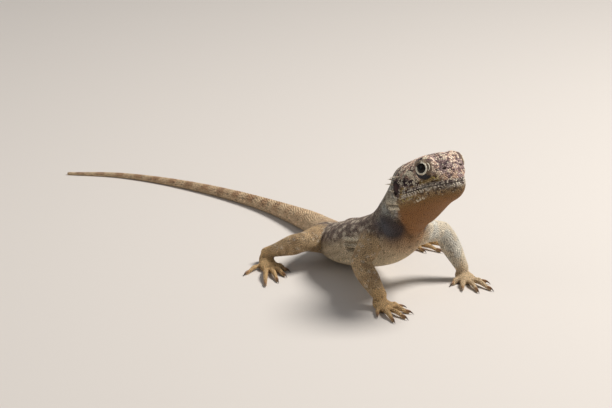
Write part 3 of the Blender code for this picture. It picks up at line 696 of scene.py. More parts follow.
class Animal:
    """The plain forms joined as one mesh, and where each point is on them."""

    def __init__(self):
        self.names, self.points, self.faces, self.owner, self.bones = [], [], [], [], {}
        shares = np.linspace(0, 1, 64)
        forwards = HEAD_LENGTH * (0.35 * shares + 0.65 * np.sin(shares * math.pi / 2))
        forwards[-1] = HEAD_LENGTH - 0.03
        rings = [from_head(ring) for ring in head_rings(forwards)]
        back = rings[0] - HEAD_AXES[1] * 2.0
        self.add_loft("head", [back.mean(axis=0) + (back - back.mean(axis=0)) * 0.96] + rings)
        vent = SPINE_PLACE["vent"]
        places = [*np.linspace(0.0, vent, 110, endpoint=False), *np.linspace(vent, TAIL_END, 150)]
        self.add_loft("spine", [spine_ring(place, turns(64), -SKIN_SINK) for place in places])
        for name, start, end, rings in limb_forms():
            self.bones[name] = (start, end)
            self.add_loft(name, rings)
        for side, hand in SIDES:
            sizes = np.array(ORBIT_SIZE) - SKIN_SINK
            self.add(f"orbit_{hand}", *egg(eye_at(side, 0), sizes, HEAD_AXES, 48, 32))
            for name, at, sizes in SNOUT_SWELLS:
                self.add(f"{name}_{hand}", *egg(on_side(at, side), sizes, HEAD_AXES))
        self.points = np.concatenate(self.points)
        self.owner = np.array(self.owner)
        self.kind = np.array([kind_of(n) for n in self.names])
        self.tree = BVHTree.FromPolygons(self.points.tolist(), self.faces)
        self.places = np.arange(0.0, TAIL_END, 0.5)
        frames = [spine_frame(p) for p in self.places]
        self.stations = np.array([f[0] for f in frames])
        self.right, self.forward, self.up = (np.array([f[k] for f in frames]) for k in (1, 2, 3))
        self.spine_tree = tree_of(self.stations[:, :3])
        self.folds = ()

    def add_loft(self, name, rings):
        self.add(name, loft_points(rings), loft_faces(len(rings), len(rings[0])))

    def add(self, name, points, faces):
        start = sum(len(p) for p in self.points)
        self.points.append(points)
        self.faces += [tuple(start + i for i in face) for face in faces]
        self.owner += [len(self.names)] * len(faces)
        self.names.append(name)

    def nearest(self, points):
        """For each point the nearest place on a form, and which form it is."""
        found = [self.tree.find_nearest(point) for point in points.tolist()]
        return np.array([f[0] for f in found]), self.owner[[f[2] for f in found]]

    def read(self, points):
        """The facts that colour and scale sizes depend on, for each point."""
        _, owners = self.nearest(points)
        near = nearest_of(self.spine_tree, points)
        width, above, below = self.stations[near, 3:].T
        away = points - self.stations[near, :3]
        across = np.einsum("ij,ij->i", away, self.right[near])
        high = np.einsum("ij,ij->i", away, self.up[near])
        kind = self.kind[owners]
        facts = {
            "point": points,
            "owner": owners,
            "kind": kind,
            "place": self.places[near],
            "across": across / width,
            "high": high / np.where(high > 0, above, below),
            "head": to_head(points),
            "bone": np.zeros(len(points)),
            "upper": np.zeros(len(points), bool),
            "lower": np.zeros(len(points), bool),
            # how far painted light pales each point of the left foreleg
            "pale": np.zeros(len(points)),
            "lie": -self.forward[near],
            "folds": self.folds,
        }
        facts["lie"][kind == "head"] = -HEAD_AXES[1]
        for name, (start, end) in self.bones.items():
            mine = owners == self.names.index(name)
            run = end - start
            facts["lie"][mine] = unit(run)
            facts["bone"][mine] = (points[mine] - start) @ run / (run @ run)
            facts["upper"][mine] = name.startswith(("upper_arm", "thigh"))
            facts["lower"][mine] = name.startswith(("forearm", "shank"))
            facts["pale"][mine] = LIGHT_PALED_FORMS.get(name.split("_digit")[0], 0.0)
        return facts


def joint_width(name):
    part = "digit" if "digit" in name else name.split("_")[0]
    return JOINT_WIDTHS.get(part, BROAD_JOINT)


def smooth_joints(points, edges, owners, names):
    """Weights for the smoothing: 1 where two forms meet, falling to 0 away from there."""
    weight = np.zeros(len(points))
    reach = np.array([joint_width(n) for n in names])
    seam = edges[owners[edges[:, 0]] != owners[edges[:, 1]]]
    width = np.minimum(reach[owners[seam[:, 0]]], reach[owners[seam[:, 1]]])
    for size in np.unique(width):
        tree = tree_of(points[np.unique(seam[width == size])])
        away = np.array([tree.find(p)[2] for p in points.tolist()])
        weight = np.maximum(weight, np.exp(-((away / size) ** 2)))
    return weight


def build_skin(animal):
    """One closed mesh over every form, smooth where they meet."""
    source = new_object("flesh", new_mesh("flesh", animal.points, animal.faces))
    remesh = source.modifiers.new("one_skin", "REMESH")
    remesh.mode = "VOXEL"
    remesh.voxel_size = VOXEL
    remesh.adaptivity = 0.0
    mesh = evaluated_mesh(source)
    bpy.data.objects.remove(source, do_unlink=True)
    points, edges = mesh_points(mesh), read_rows(mesh.edges, "vertices", 2, np.int32)
    degree = np.bincount(edges.ravel(), minlength=len(points)).astype(float)
    for push in VOXEL_PUSHES:
        points += push * (neighbour_means(points, edges, degree) - points)
    places, owners = animal.nearest(points)
    weight = smooth_joints(points, edges, owners, animal.names)
    points = points + (places - points) * (1 - ramp(weight, 0.0, 0.35))[:, None]
    for _ in range(JOINT_PASSES):
        points += JOINT_PULL * weight[:, None] * (neighbour_means(points, edges, degree) - points)
    points[:, 2] = np.maximum(points[:, 2], FLOOR_CLEAR)
    set_points(mesh, points)
    return mesh


def mouth_wedge():
    """Points and faces of the thin wedge that opens the lips."""
    path = mouth_path(40)
    ahead = np.gradient(path, axis=0)
    outward = units(np.stack([ahead[:, 1], -ahead[:, 0], np.zeros(len(path))], axis=1))
    edge, flare = np.array([0, 0, 0.05]), np.array([0, 0, MOUTH_FLARE[1]])
    rings = []
    for place, out in zip(path, outward):
        inner, outer = place - out * MOUTH_DEPTH, place + out * MOUTH_FLARE[0]
        rings.append(from_head([inner + edge, outer + flare, outer - flare, inner - edge]))
    return loft_points(rings), loft_faces(len(rings), 4)


def cut_skin(mesh):
    """Opens the mouth, nostrils, ears and eye sockets in the skin."""
    skin = new_object("skin", mesh)
    cutters = [mouth_wedge()]
    for side, _ in SIDES:
        axes = eye_axes(side)
        opening = (LID_RADIUS - 0.2, LID_RADIUS - 0.2, 1.4)
        cutters.append(egg(eye_at(side, EYE_PLACE), (EYE_RADIUS + 0.05,) * 3, axes, 40, 26))
        cutters.append(egg(eye_at(side, LID_PLACE + 0.5), opening, axes, 40, 20))
        cutters.append(egg(on_side(EAR_AT, side), EAR_SIZE, HEAD_AXES))
        cutters.append(egg(on_side(NOSTRIL_AT, side), NOSTRIL_SIZE, HEAD_AXES, 20, 12))
    for points, faces in cutters:
        cutter = new_object("cutter", new_mesh("cutter", points, faces))
        cut = skin.modifiers.new("cut", "BOOLEAN")
        cut.operation = "DIFFERENCE"
        cut.solver = "MANIFOLD"
        cut.object = cutter
        made = evaluated_mesh(skin)
        skin.modifiers.clear()
        skin.data = made
        bpy.data.objects.remove(cutter, do_unlink=True)
    return skin


def near_line(points, line):
    """How far each point is from a line of straight runs, and how far along it, 0 to 1."""
    best = np.full(len(points), 1e9)
    place = np.zeros(len(points))
    for k, (a, b) in enumerate(zip(line, line[1:])):
        run = b - a
        t = np.clip((points - a) @ run / (run @ run), 0, 1)
        away = np.linalg.norm(points - a - t[:, None] * run, axis=1)
        place = np.where(away < best, (k + t) / (len(line) - 1), place)
        best = np.minimum(best, away)
    return best, place


def fold_lines(skin_points):
    """Every fold on both sides, laid on the skin."""
    lines = []
    for line, width, depth in BODY_FOLDS:
        table = [(k, *p) for k, p in enumerate(line)]
        fine = np.array([along(table, t) for t in np.linspace(0, len(line) - 1, 14)])
        for side, _ in SIDES:
            turned = np.radians(fine[:, 1])
            turned = turned if side > 0 else math.pi - turned
            rows = [spine_ring(place, np.array([turn]))[0] for place, turn in zip(fine[:, 0], turned)]
            lines.append((np.array(rows), width, depth))
    for line, width, depth in HEAD_FOLDS:
        lines += [(on_side(line, side), width, depth) for side, _ in SIDES]
    tree = tree_of(skin_points)
    return [(skin_points[nearest_of(tree, line)], width, depth) for line, width, depth in lines]


def fold_depth(points, folds):
    """How far the skin sinks in its folds, and how strongly its raised folds stand out."""
    sunk, pale = np.zeros(len(points)), np.zeros(len(points))
    for line, width, depth in folds:
        reach = 4.5 * width
        inside = (points > line.min(axis=0) - reach) & (points < line.max(axis=0) + reach)
        mine = np.where(inside.all(axis=1))[0]
        away, place = near_line(points[mine], line)
        ends = ramp(np.minimum(place, 1 - place), 0.0, 0.25)
        sunk[mine] += ends * depth * np.exp(-((away / width) ** 2))
        sunk[mine] -= 0.22 * ends * depth * np.exp(-(((away - 2.2 * width) / (0.9 * width)) ** 2))
        if depth < 0:
            raised = ramp(ends, 0.1, 0.9) * np.exp(-((away / (1.4 * width)) ** 2))
            pale[mine] = np.maximum(pale[mine], raised)
    for side, _ in SIDES:
        away = np.linalg.norm(points - on_side(NOSTRIL_AT, side), axis=1)
        sunk -= 0.18 * np.exp(-(((away - 0.95) / 0.32) ** 2))
    return sunk, pale


# The colours of the skin and scales, then of the lids, spines, claws, eyes and eardrums.
CROWN = srgb(210, 174, 152)
CROWN_DARK = srgb(82, 60, 66)
CROWN_GREY = srgb(150, 124, 124)
CROWN_PALE = srgb(246, 222, 198)
CREAM = srgb(234, 222, 196)
PURPLE_BROWN = srgb(58, 38, 40)
TAN = srgb(124, 102, 76)
OLIVE = srgb(156, 130, 82)
OLIVE_YELLOW = srgb(196, 176, 104)
OLIVE_DARK = srgb(80, 56, 34)
PEACH = srgb(212, 178, 152)
LABIAL = srgb(184, 166, 150)
LABIAL_PALE = srgb(224, 212, 194)
LABIAL_DARK = srgb(70, 52, 52)
JAW = srgb(150, 122, 84)
JAW_GREY = srgb(148, 132, 112)
JAW_BROWN = srgb(136, 98, 52)
# The throat's ochre is partly its own colour and partly painted warm bounce light and painted shade.
THROAT_TONE_BOUNCE_SHADE = srgb(143, 97, 51)
NAPE = srgb(166, 156, 138)
BLUE_GREY = srgb(158, 160, 154)
SHOULDER_DARK_AND_SHADE = srgb(58, 48, 48)
SHOULDER_BLUE = srgb(92, 92, 97)
BACK = srgb(134, 116, 104)
BACK_DARK = srgb(84, 70, 62)
BACK_PALE = srgb(196, 184, 164)
FLANK = srgb(184, 166, 138)
BELLY = srgb(214, 196, 164)
LIMB = srgb(188, 160, 122)
LIMB_PALE = srgb(216, 208, 190)
LIMB_DARK = srgb(124, 94, 62)
LIMB_SKYLIGHT_BLUE = srgb(212, 213, 205)
PAW = srgb(202, 168, 120)
TAIL_PALE = srgb(200, 174, 140)
TAIL_BAND = srgb(160, 124, 92)
NIGHT = srgb(30, 28, 40)
COLLAR = srgb(190, 176, 152)
# painted shade round the ear opening
EAR_PAINTED_SHADE = srgb(74, 50, 46)
LID_CREAM = srgb(226, 218, 198)
LID_SHADE = srgb(170, 150, 126)
LID_DARK = srgb(66, 50, 42)
SPINE_ROOT = srgb(150, 136, 118)
SPINE_TIP = srgb(226, 218, 200)
CLAW_ROOT = srgb(148, 110, 74)
CLAW_TIP = srgb(62, 40, 28)
EYE_IRIS = srgb(20, 13, 9)
EYE_SPOKES = srgb(36, 24, 15)
EYE_PUPIL = srgb(4, 4, 4)
# The eardrum, darkened toward its rim by painted shade in the ear's recess.
DRUM_MIDDLE = srgb(58, 34, 32)
DRUM_RIM_SHADE = srgb(22, 13, 14)

# Round blotches on the head: middle and radius.
TEMPLE_SPOTS = (
    (10.6, 5.6, 5.0, 0.75),
    (10.2, 7.6, 5.4, 0.85),
    (9.9, 9.7, 4.9, 0.9),
    (9.5, 12.2, 4.2, 1.15),
    (9.8, 14.2, 2.6, 0.9),
    (9.0, 9.4, 7.4, 0.7),
    (8.8, 12.2, 7.2, 0.9),
    (9.6, 6.6, 7.6, 0.6),
    (10.4, 3.4, 5.8, 0.55),
)
JAW_SPOTS = tuple((9.6 - 0.2 * k, 8.6 + 1.45 * k, -6.6 + 0.16 * k, 0.42) for k in range(9))
# Colour, strength, middle, radius and soft edge of the spots of the brow and snout.
BROW_SPOTS = (
    (NIGHT, 0.9, (8.6, 19.2, 8.8), 1.35, 0.3),
    (CREAM, 0.85, (7.7, 21.2, 9.3), 1.2, 0.3),
    (CROWN_DARK, 0.7, (7.6, 22.6, 8.0), 1.1, 0.6),
    (CROWN_DARK, 0.8, (6.2, 24.6, 4.4), 1.0, 0.5),
)


def mirrored(head_points):
    """Points of the head, all brought to its right side."""
    return np.column_stack([np.abs(head_points[:, 0]), head_points[:, 1:]])


def eye_distance(head_points):
    """How far each point is from the line an eye looks along, its angle round it and place on it."""
    local = mirrored(head_points) - np.array(ORBIT_AT)
    out = unit(EYE_OUT)
    along_eye = local @ out
    flat = local - along_eye[:, None] * out
    up = unit(UP - out[2] * out)
    back = np.cross(out, up)
    return np.linalg.norm(flat, axis=1), np.arctan2(flat @ up, flat @ back), along_eye


def mouth_height(head_points):
    """How far above the line of the mouth each point is."""
    stations = np.array(HEAD_STATIONS)
    return head_points[:, 2] - np.interp(head_points[:, 1], stations[:, 0], stations[:, 1])


def blotch(points, middle, radius, soft):
    """1 within a round blotch, falling to 0 outside it."""
    return ramp(radius - np.linalg.norm(points - np.array(middle), axis=1), 0.0, soft)


def mound(along_one, along_other):
    """1 where both shares are 0, falling away as a soft mound."""
    return np.exp(-(along_one**2 + along_other**2))


def paint_nape(point, high):
    """The skin of the nape: a weak net over grey, darker above."""
    near, border = spots(point, 2.3, 35)
    tone = mix(NAPE, BLUE_GREY, patchy(point, 2.2, 19, 0.4, 0.65))
    tone = mix(tone, BACK, 0.6 * ramp(high, 3.0, 8.0))
    tone = mix(tone, BACK_DARK, 0.55 * ramp(0.24 - border, 0.0, 0.16))
    return mix(tone, BACK_PALE, 0.6 * ramp(0.40 - near, 0.0, 0.2))


def paint_jaw(point, local, over, y):
    """The lower jaw and the throat."""
    jaw = mix(JAW, JAW_GREY, ramp(y, 17.0, 23.0) * ramp(over, -2.8, -1.4))
    jaw = mix(jaw, OLIVE_DARK, 0.8 * patchy(point, 0.9, 17, 0.54, 0.68) * ramp(over, -5.5, -3.0))
    jaw = mix(jaw, OLIVE_YELLOW, 0.6 * patchy(point, 1.1, 28, 0.55, 0.7) * ramp(20.0 - y, 0.0, 5.0))
    jaw = mix(jaw, JAW_BROWN, ramp(-over, 2.4, 5.0))
    for *middle, radius in JAW_SPOTS:
        jaw = mix(jaw, CREAM, 0.8 * blotch(local, middle, radius + 0.3, 0.3))
    pale_row = ramp(1.2 - np.abs(over + 0.6), 0.0, 0.6) * patchy(point, 1.0, 18, 0.36, 0.5)
    jaw = mix(jaw, LABIAL_PALE, 0.85 * pale_row)
    # the throat, its own ochre with painted warm bounce light and shade in it
    return mix(jaw, THROAT_TONE_BOUNCE_SHADE, ramp(-over, 3.8, 8.0))


def paint_head(facts):
    """The head: a pale crown with a purple net, a blotched temple, an olive cheek and jaw."""
    head = facts["head"]
    local = mirrored(head)
    point = facts["point"]
    x, y, z = local.T
    over = mouth_height(head)
    fine = noise(point, 0.95, 12)
    _, border = spots(point, 1.7, 13)
    # The crown and the top of the snout.
    tone = mix(CROWN, CROWN_PALE, ramp(fine, 0.42, 0.68))
    tone = mix(tone, CROWN_GREY, 0.8 * patchy(point, 2.3, 11, 0.56, 0.68))
    tone = mix(tone, CROWN_DARK, 0.9 * ramp(0.18 - border, 0.0, 0.10) * ramp(0.62 - fine, 0.0, 0.2))
    tone = mix(tone, CROWN_DARK, 0.8 * patchy(point, 1.3, 21, 0.68, 0.78))
    # The temple: cream blotches on purple-brown.
    temple = mix(PURPLE_BROWN, CROWN, 0.8 * patchy(point, 1.5, 14, 0.42, 0.62))
    temple = mix(temple, CREAM, 0.75 * patchy(point, 1.25, 22, 0.58, 0.72))
    for *middle, radius in TEMPLE_SPOTS:
        temple = mix(temple, CREAM, 0.9 * blotch(local, middle, radius * 1.4, 0.45))
    tone = mix(tone, temple, ramp(x, 6.6, 8.6) * ramp(15.6 - y, 0.0, 2.0) * ramp(z, 0.4, 1.4))
    # The skin round the eye.
    away, turn, out = eye_distance(head)
    round_eye = ramp(4.4 - away, 0.0, 0.8) * ramp(out, 0.8, 1.8)
    tone = mix(tone, mix(TAN, OLIVE_DARK, ramp(fine, 0.5, 0.75)), 0.85 * round_eye)
    # The cheek and the hollow before the eye: yellow-olive with dark flecks.
    cheek = mix(OLIVE, OLIVE_DARK, 0.9 * patchy(point, 1.4, 15, 0.52, 0.68))
    cheek = mix(cheek, OLIVE_YELLOW, patchy(point, 0.9, 23, 0.6, 0.75))
    share = ramp(2.2 - z + 0.12 * (y - 18), 0.0, 1.4) * ramp(y, 11.0, 14.0) * ramp(26.5 - y, 0.0, 3.0)
    tone = mix(tone, cheek, share)
    # Peach scales between the nostrils and the lip.
    peach = mix(PEACH, CROWN_GREY, 0.85 * patchy(point, 1.2, 24, 0.48, 0.6))
    tone = mix(tone, peach, ramp(y, 25.0, 26.5) * ramp(1.9 - z, 0.0, 0.8))
    # Behind the eye, a band with a fine check of dark and pale.
    check = mix(PURPLE_BROWN, CREAM, 0.9 * patchy(point, 0.8, 16, 0.55, 0.63))
    band = ramp(1.5 - np.abs(z - 1.6 + 0.18 * (y - 9)), 0.0, 0.7)
    band = band * ramp(y, 3.0, 4.5) * ramp(16.5 - y, 0.0, 2.0)
    tone = mix(tone, check, band * ramp(x, 7.0, 8.5))
    cheek_low = mix(OLIVE, PURPLE_BROWN, 0.9 * patchy(point, 1.0, 25, 0.44, 0.56))
    cheek_low = mix(cheek_low, LABIAL_PALE, 0.8 * patchy(point, 0.75, 26, 0.6, 0.7))
    tone = mix(tone, cheek_low, ramp(0.2 - z - 0.12 * (y - 9), 0.0, 0.6) * ramp(16.0 - y, 0.0, 3.0))
    # The upper lip, then the jaw below it.
    lip = mix(LABIAL, PURPLE_BROWN, 0.85 * patchy(point, 1.3, 27, 0.53, 0.64))
    lip = mix(lip, LABIAL_PALE, 0.9 * ramp(fine, 0.46, 0.62) * ramp(1.1 - over, 0.0, 0.4))
    tone = mix(tone, lip, ramp(1.5 - over, 0.0, 0.3) * ramp(y, 11.0, 13.0))
    tone = mix(tone, paint_jaw(point, local, over, y), ramp(-over, 0.05, 0.3))
    # Painted shade round the ear: the skin about its opening is darkened as the shade in the recess.
    lean = y - EAR_AT[1] + 0.2 * (z - EAR_AT[2])
    ear = np.hypot(lean / (1.25 * EAR_SIZE[1]), (z + 0.3 - EAR_AT[2]) / (1.25 * EAR_SIZE[2]))
    tone = mix(tone, EAR_PAINTED_SHADE, 0.9 * ramp(1.12 - ear, 0.0, 0.2) * ramp(x, 8.0, 9.5))
    # The dark crescent under and behind the eye, the lids, and the spots of the brow.
    crescent = ramp(4.6 - away, 0.0, 0.6) * ramp(np.cos(turn + 1.22), 0.42, 0.75) * ramp(out, 0.3, 1.2)
    tone = mix(tone, NIGHT, 0.95 * crescent)
    tone = mix(tone, LID_CREAM, ramp(2.62 - away, 0.0, 0.2) * ramp(out, 1.5, 2.5))
    for colour, strength, middle, radius, soft in BROW_SPOTS:
        tone = mix(tone, colour, strength * blotch(local, middle, radius, soft))
    # The skin behind the ear and over the nape.
    ragged = 3.0 * (noise(point, 1.8, 29) - 0.5)
    back = ramp(2.6 + 0.35 * np.maximum(z - 2.0, 0) + ragged - y, 0.0, 2.2) * ramp(over, -5.5, -3.5)
    return mix(tone, paint_nape(point, z), back)


def paint_trunk(facts):
    """The neck, the back with its pale spots in a dark net, the belly and the banded tail."""
    point, place, high = facts["point"], facts["place"], facts["high"]
    near, border = spots(point * np.array([1.0, 0.8, 1.0]), 3.4, 31)
    back = mix(BACK, BACK_DARK, 0.8 * ramp(0.24 - border, 0.0, 0.16))
    back = mix(back, BACK_PALE, 0.85 * ramp(0.42 - near, 0.0, 0.2))
    back = mix(back, paint_nape(point, facts["head"][:, 2] + 0.5 * place), ramp(17.0 - place, 0.0, 9.0))
    back = mix(back, BACK_PALE, 0.4 * patchy(point, 1.1, 32, 0.55, 0.8))
    tone = mix(back, FLANK, ramp(0.25 - high, 0.0, 0.45) * ramp(place, 18.0, 30.0))
    tone = mix(tone, BELLY, ramp(-high, 0.35, 0.75))
    # the throat's colour holds painted bounce light and shade as well as its own ochre
    throat = mix(THROAT_TONE_BOUNCE_SHADE, BELLY, ramp(place, 8.0, 30.0))
    tone = mix(tone, throat, ramp(-high, 0.25, 0.6) * ramp(40.0 - place, 0.0, 16.0))
    # The dark shoulder, its own dark patch painted darker still as the shade under the jaw, with its
    # blue-grey patch, and a pale streak before it.
    side = np.abs(facts["across"])
    patch = mound((place - 12.6) / 5.0, (high + 0.42) / 0.42) * ramp(side, 0.35, 0.65)
    tone = mix(tone, SHOULDER_DARK_AND_SHADE, 0.96 * np.clip(1.7 * patch, 0, 1))
    blue = mound((place - 15.0) / 2.6, (high + 0.28) / 0.40) * ramp(side, 0.6, 0.85)
    tone = mix(tone, SHOULDER_BLUE, 0.8 * blue)
    streak = mound((place - 9.0) / 1.8, (high - 0.10) / 0.2) * ramp(side, 0.6, 0.85)
    tone = mix(tone, BLUE_GREY, 0.9 * streak)
    # The tail, with weak bands that fade on its under side.
    band = 0.5 + 0.5 * np.cos(2 * math.pi * (place - SPINE_PLACE["vent"]) / 9.5)
    share = ramp(band, 0.45, 0.8) * ramp(high, -0.4, 0.4) * ramp(place, 85.0, 150.0)
    tail = mix(TAIL_PALE, TAIL_BAND, 0.8 * share)
    tail = mix(tail, BACK, 0.3 * ramp(110.0 - place, 0.0, 30.0) * ramp(high, 0.0, 0.7))
    tail = mix(tail, TAIL_BAND, 0.35 * patchy(point, 1.6, 33, 0.5, 0.8))
    return mix(tone, tail, on_tail(place))


def paint_limb(facts):
    """The legs: sandy with faint darker bars and pale flecks, with painted light making the left foreleg
    paler.
    """
    point, bone = facts["point"], facts["bone"]
    tone = mix(LIMB, LIMB_DARK, 0.5 * patchy(point, 2.4, 41, 0.5, 0.75))
    near, _ = spots(point, 2.6, 42)
    tone = mix(tone, LIMB_PALE, 0.35 * ramp(0.42 - near, 0.0, 0.2))
    # painted light: the lit left foreleg is painted paler and blue-white
    tone = mix(tone, mix(LIMB_PALE, LIMB_SKYLIGHT_BLUE, patchy(point, 3.0, 44, 0.4, 0.6)), 0.7 * facts["pale"])
    paw = mix(PAW, LIMB_DARK, 0.45 * patchy(point, 1.4, 43, 0.55, 0.8))
    # painted light on the left hand as well
    paw = mix(paw, LIMB_PALE, 0.45 * facts["pale"])
    is_paw = np.isin(facts["kind"], ("paw", "digit"))
    wrist = np.where(facts["lower"], ramp(bone + 0.3 * (noise(point, 1.6, 46) - 0.5), 0.70, 1.0), 0.0)
    return mix(tone, paw, np.where(is_paw, 1.0, wrist))


def paint(facts):
    """The colour of the skin, and of the scale that grows there, at each point."""
    trunk = paint_trunk(facts)
    kind = facts["kind"]
    neck = ramp(facts["head"][:, 1], -2.0, 1.5)
    tone = mix(trunk, paint_head(facts), np.where(np.isin(kind, ("head", "spine")), neck, 0.0))
    on_limb = np.isin(kind, ("limb", "paw", "digit"))
    tone = np.where(on_limb[:, None], paint_limb(facts), tone)
    ragged = 0.12 * (noise(facts["point"], 1.8, 45) - 0.5)
    tone = mix(tone, trunk, np.where(facts["upper"], ramp(0.42 + ragged - facts["bone"], 0.0, 0.30), 0.0))
    x, y, z = mirrored(facts["head"]).T
    collar = mound((y + 1.0) / 5.0, (z + 5.2) / 2.3) * ramp(x, 6.5, 8.5)
    tone = mix(tone, COLLAR, 0.85 * ramp(collar, 0.25, 0.7))
    depth, pale = fold_depth(facts["point"], facts["folds"])
    # painted shade: the skin in deep folds and slits is darkened
    tone = mix(tone, 0.22 * tone, ramp(depth, 0.25, 0.8))
    on_crown = (kind == "head") & (facts["head"][:, 2] > 3.8) & (facts["head"][:, 1] > 11.0)
    return mix(tone, CREAM, np.where(on_crown, 0.15, 0.85) * ramp(pale, 0.35, 0.8))


LIMB_SPACING = {"limb": 0.74, "paw": 0.62, "digit": 0.54}


def body_spacing(place, high=0.0):
    """How far apart the scales of the neck, trunk and tail are."""
    trunk = 0.60 + 0.10 * ramp(place, 12.0, 30.0) + 0.12 * ramp(-high, 0.3, 0.7)
    tail = 0.92 + 0.12 * ramp(place, 75.0, 95.0) - 0.48 * ramp(place, 130.0, TAIL_END)
    return trunk + (tail - trunk) * on_tail(place)


def scale_spacing(facts):
    """How far apart the scales' middles are, in millimetres."""
    kind, head = facts["kind"], facts["head"]
    away, _, out = eye_distance(head)
    on_head = 0.54 + 0.20 * ramp(head[:, 2], 4.5, 9.0) + 0.12 * ramp(head[:, 1], 20.0, 27.0)
    on_head = on_head - 0.18 * ramp(4.4 - away, 0.0, 1.4) * ramp(out, 1.0, 2.0)
    on_head = np.where(mouth_height(head) < -1.0, 0.56, on_head)
    size = np.where(kind == "head", on_head, body_spacing(facts["place"], facts["high"]))
    for name, spacing in LIMB_SPACING.items():
        size = np.where(kind == name, spacing, size)
    return size


def scale_form(facts):
    """How high each scale is, how far it laps over the next, and how sharp its keel is."""
    kind = facts["kind"]
    tail = on_tail(facts["place"])
    head, limb, digit = (kind == name for name in ("head", "limb", "digit"))
    lap = np.where(head, 0.0, 0.10 + 0.30 * tail)
    lap = np.where(limb, 0.28, lap)
    lap = np.where(digit | (kind == "paw"), 0.22, lap)
    keel = np.where(head, 0.15, 0.25 + 0.55 * tail * ramp(facts["high"], -0.6, 0.0))
    height = np.where(head, 0.15, 0.14 + 0.05 * tail)
    return np.where(digit, 0.13, height), lap, np.where(limb, 0.6, keel)


SAMPLES = 260000  # points spread over the skin, from which the scales' roots are chosen
ROOT_CLEAR = 0.80  # roots are at least this share of their spacing apart
ROW_PITCH = 0.87  # the rows are this share of their spacing apart
RELAX_STEPS = 2
LABIAL_SPACING = 0.60
LABIAL_HEIGHTS = (0.40, 0.92, 1.44, -0.40, -0.92)
DIGIT_WIDE, LIMB_WIDE = 1.3, 4.2  # the rows' half width before they are laid on the skin
CORNERS = 8  # of each scale's outline
NEAR_COUNT = 12
FAR = 9.0  # further than any neighbour
LEAST_REACH, MOST_REACH = 0.2, 0.72  # of a scale, as shares of the spacing
SCALE_FLOOR = 0.01
# Painted shade and highlight on each scale, as shares of its colour: its rim darkened, its top brightened.
RIM_PAINTED_SHADE, SHOULDER_PAINTED_SHADE, TOP_PAINTED_HIGHLIGHT = 0.5, 0.97, 1.10


def spread_samples(points, triangles, rng):
    """Points spread evenly over a surface."""
    a, b, c = (points[triangles[:, k]] for k in range(3))
    area = np.linalg.norm(np.cross(b - a, c - a), axis=1)
    picked = np.searchsorted(np.cumsum(area) / area.sum(), rng.random(SAMPLES))
    picked = np.minimum(picked, len(triangles) - 1)
    s, t = np.sqrt(rng.random((SAMPLES, 1))), rng.random((SAMPLES, 1))
    return a[picked] * (1 - s) + b[picked] * s * (1 - t) + c[picked] * s * t


def bald(facts):
    """Where no scales grow: the eyes, ears, nostrils, the mouth's line and what lies on the floor."""
    local = mirrored(facts["head"])
    x, y, z = local.T
    away, _, out = eye_distance(facts["head"])
    eye = (away < LID_RADIUS + 0.22) & (out > 1.2)
    ear = (((y - EAR_AT[1]) / EAR_SIZE[1]) ** 2 + ((z - EAR_AT[2]) / EAR_SIZE[2]) ** 2 < 0.9) & (x > 9.0)
    nostril = np.linalg.norm((local - np.array(NOSTRIL_AT)) / np.array([2.4, 0.88, 0.78]), axis=1) < 1.0
    mouth = (np.abs(mouth_height(facts["head"])) < 0.30) & (y > MOUTH_CORNER - 0.5)
    return ((facts["kind"] == "head") & (eye | ear | nostril | mouth)) | (facts["point"][:, 2] < 0.12)


def labial_roots():
    """The middles of the scales along both lips, and which of them are dark."""
    path = mouth_path(300)
    steps = np.concatenate([[0], np.cumsum(np.linalg.norm(np.diff(path, axis=0), axis=1))])
    count = 2 * int(round(steps[-1] / LABIAL_SPACING / 2)) + 1
    roots, dark = [], []
    for k, level in enumerate(LABIAL_HEIGHTS):
        places = (np.arange(count) + 0.5 + 0.5 * (k % 2)) / count * steps[-1]
        row = np.stack([np.interp(places, steps, path[:, a]) for a in range(3)], axis=1)
        row[:, 2] += level
        roots.append(from_head(row))
        dark.append((np.arange(count) + k // 2) % 2 == 0)
    return np.concatenate(roots), np.concatenate(dark)


def row_roots(bones):
    """Rows of roots round the body and limbs, set like bricks."""
    roots = []
    place, odd = 1.0, 0
    while place < TAIL_END - 0.5:
        width, above, below = spine_frame(place)[0][3:]
        girth = math.pi * (width + (above + below) / 2)
        size = body_spacing(place)
        count = max(5, int(girth / size))
        angles = (np.arange(count) + 0.5 * odd) * 2 * math.pi / count + math.pi / 2
        roots.append(spine_ring(place, angles))
        place += size * ROW_PITCH
        odd = 1 - odd
    for name, (start, end) in bones.items():
        run, one, other = bone_axes(start, end)
        kind, wide = ("digit", DIGIT_WIDE) if "digit" in name else ("limb", LIMB_WIDE)
        size = LIMB_SPACING[kind]
        place = 0.0
        while place < float(np.linalg.norm(end - start)):
            count = max(6, int(2 * math.pi * wide / size))
            angles = (np.arange(count) + 0.5 * odd) * 2 * math.pi / count
            roots.append(start + run * place + wide * circle(angles, one, other))
            place += size * ROW_PITCH
            odd = 1 - odd
    return np.concatenate(roots)


def onto(surface, points):
    """The nearest places on a surface, and the surface's normals there."""
    found = [surface.find_nearest(p)[:2] for p in points.tolist()]
    return tuple(np.array([f[k] for f in found]) for k in (0, 1))


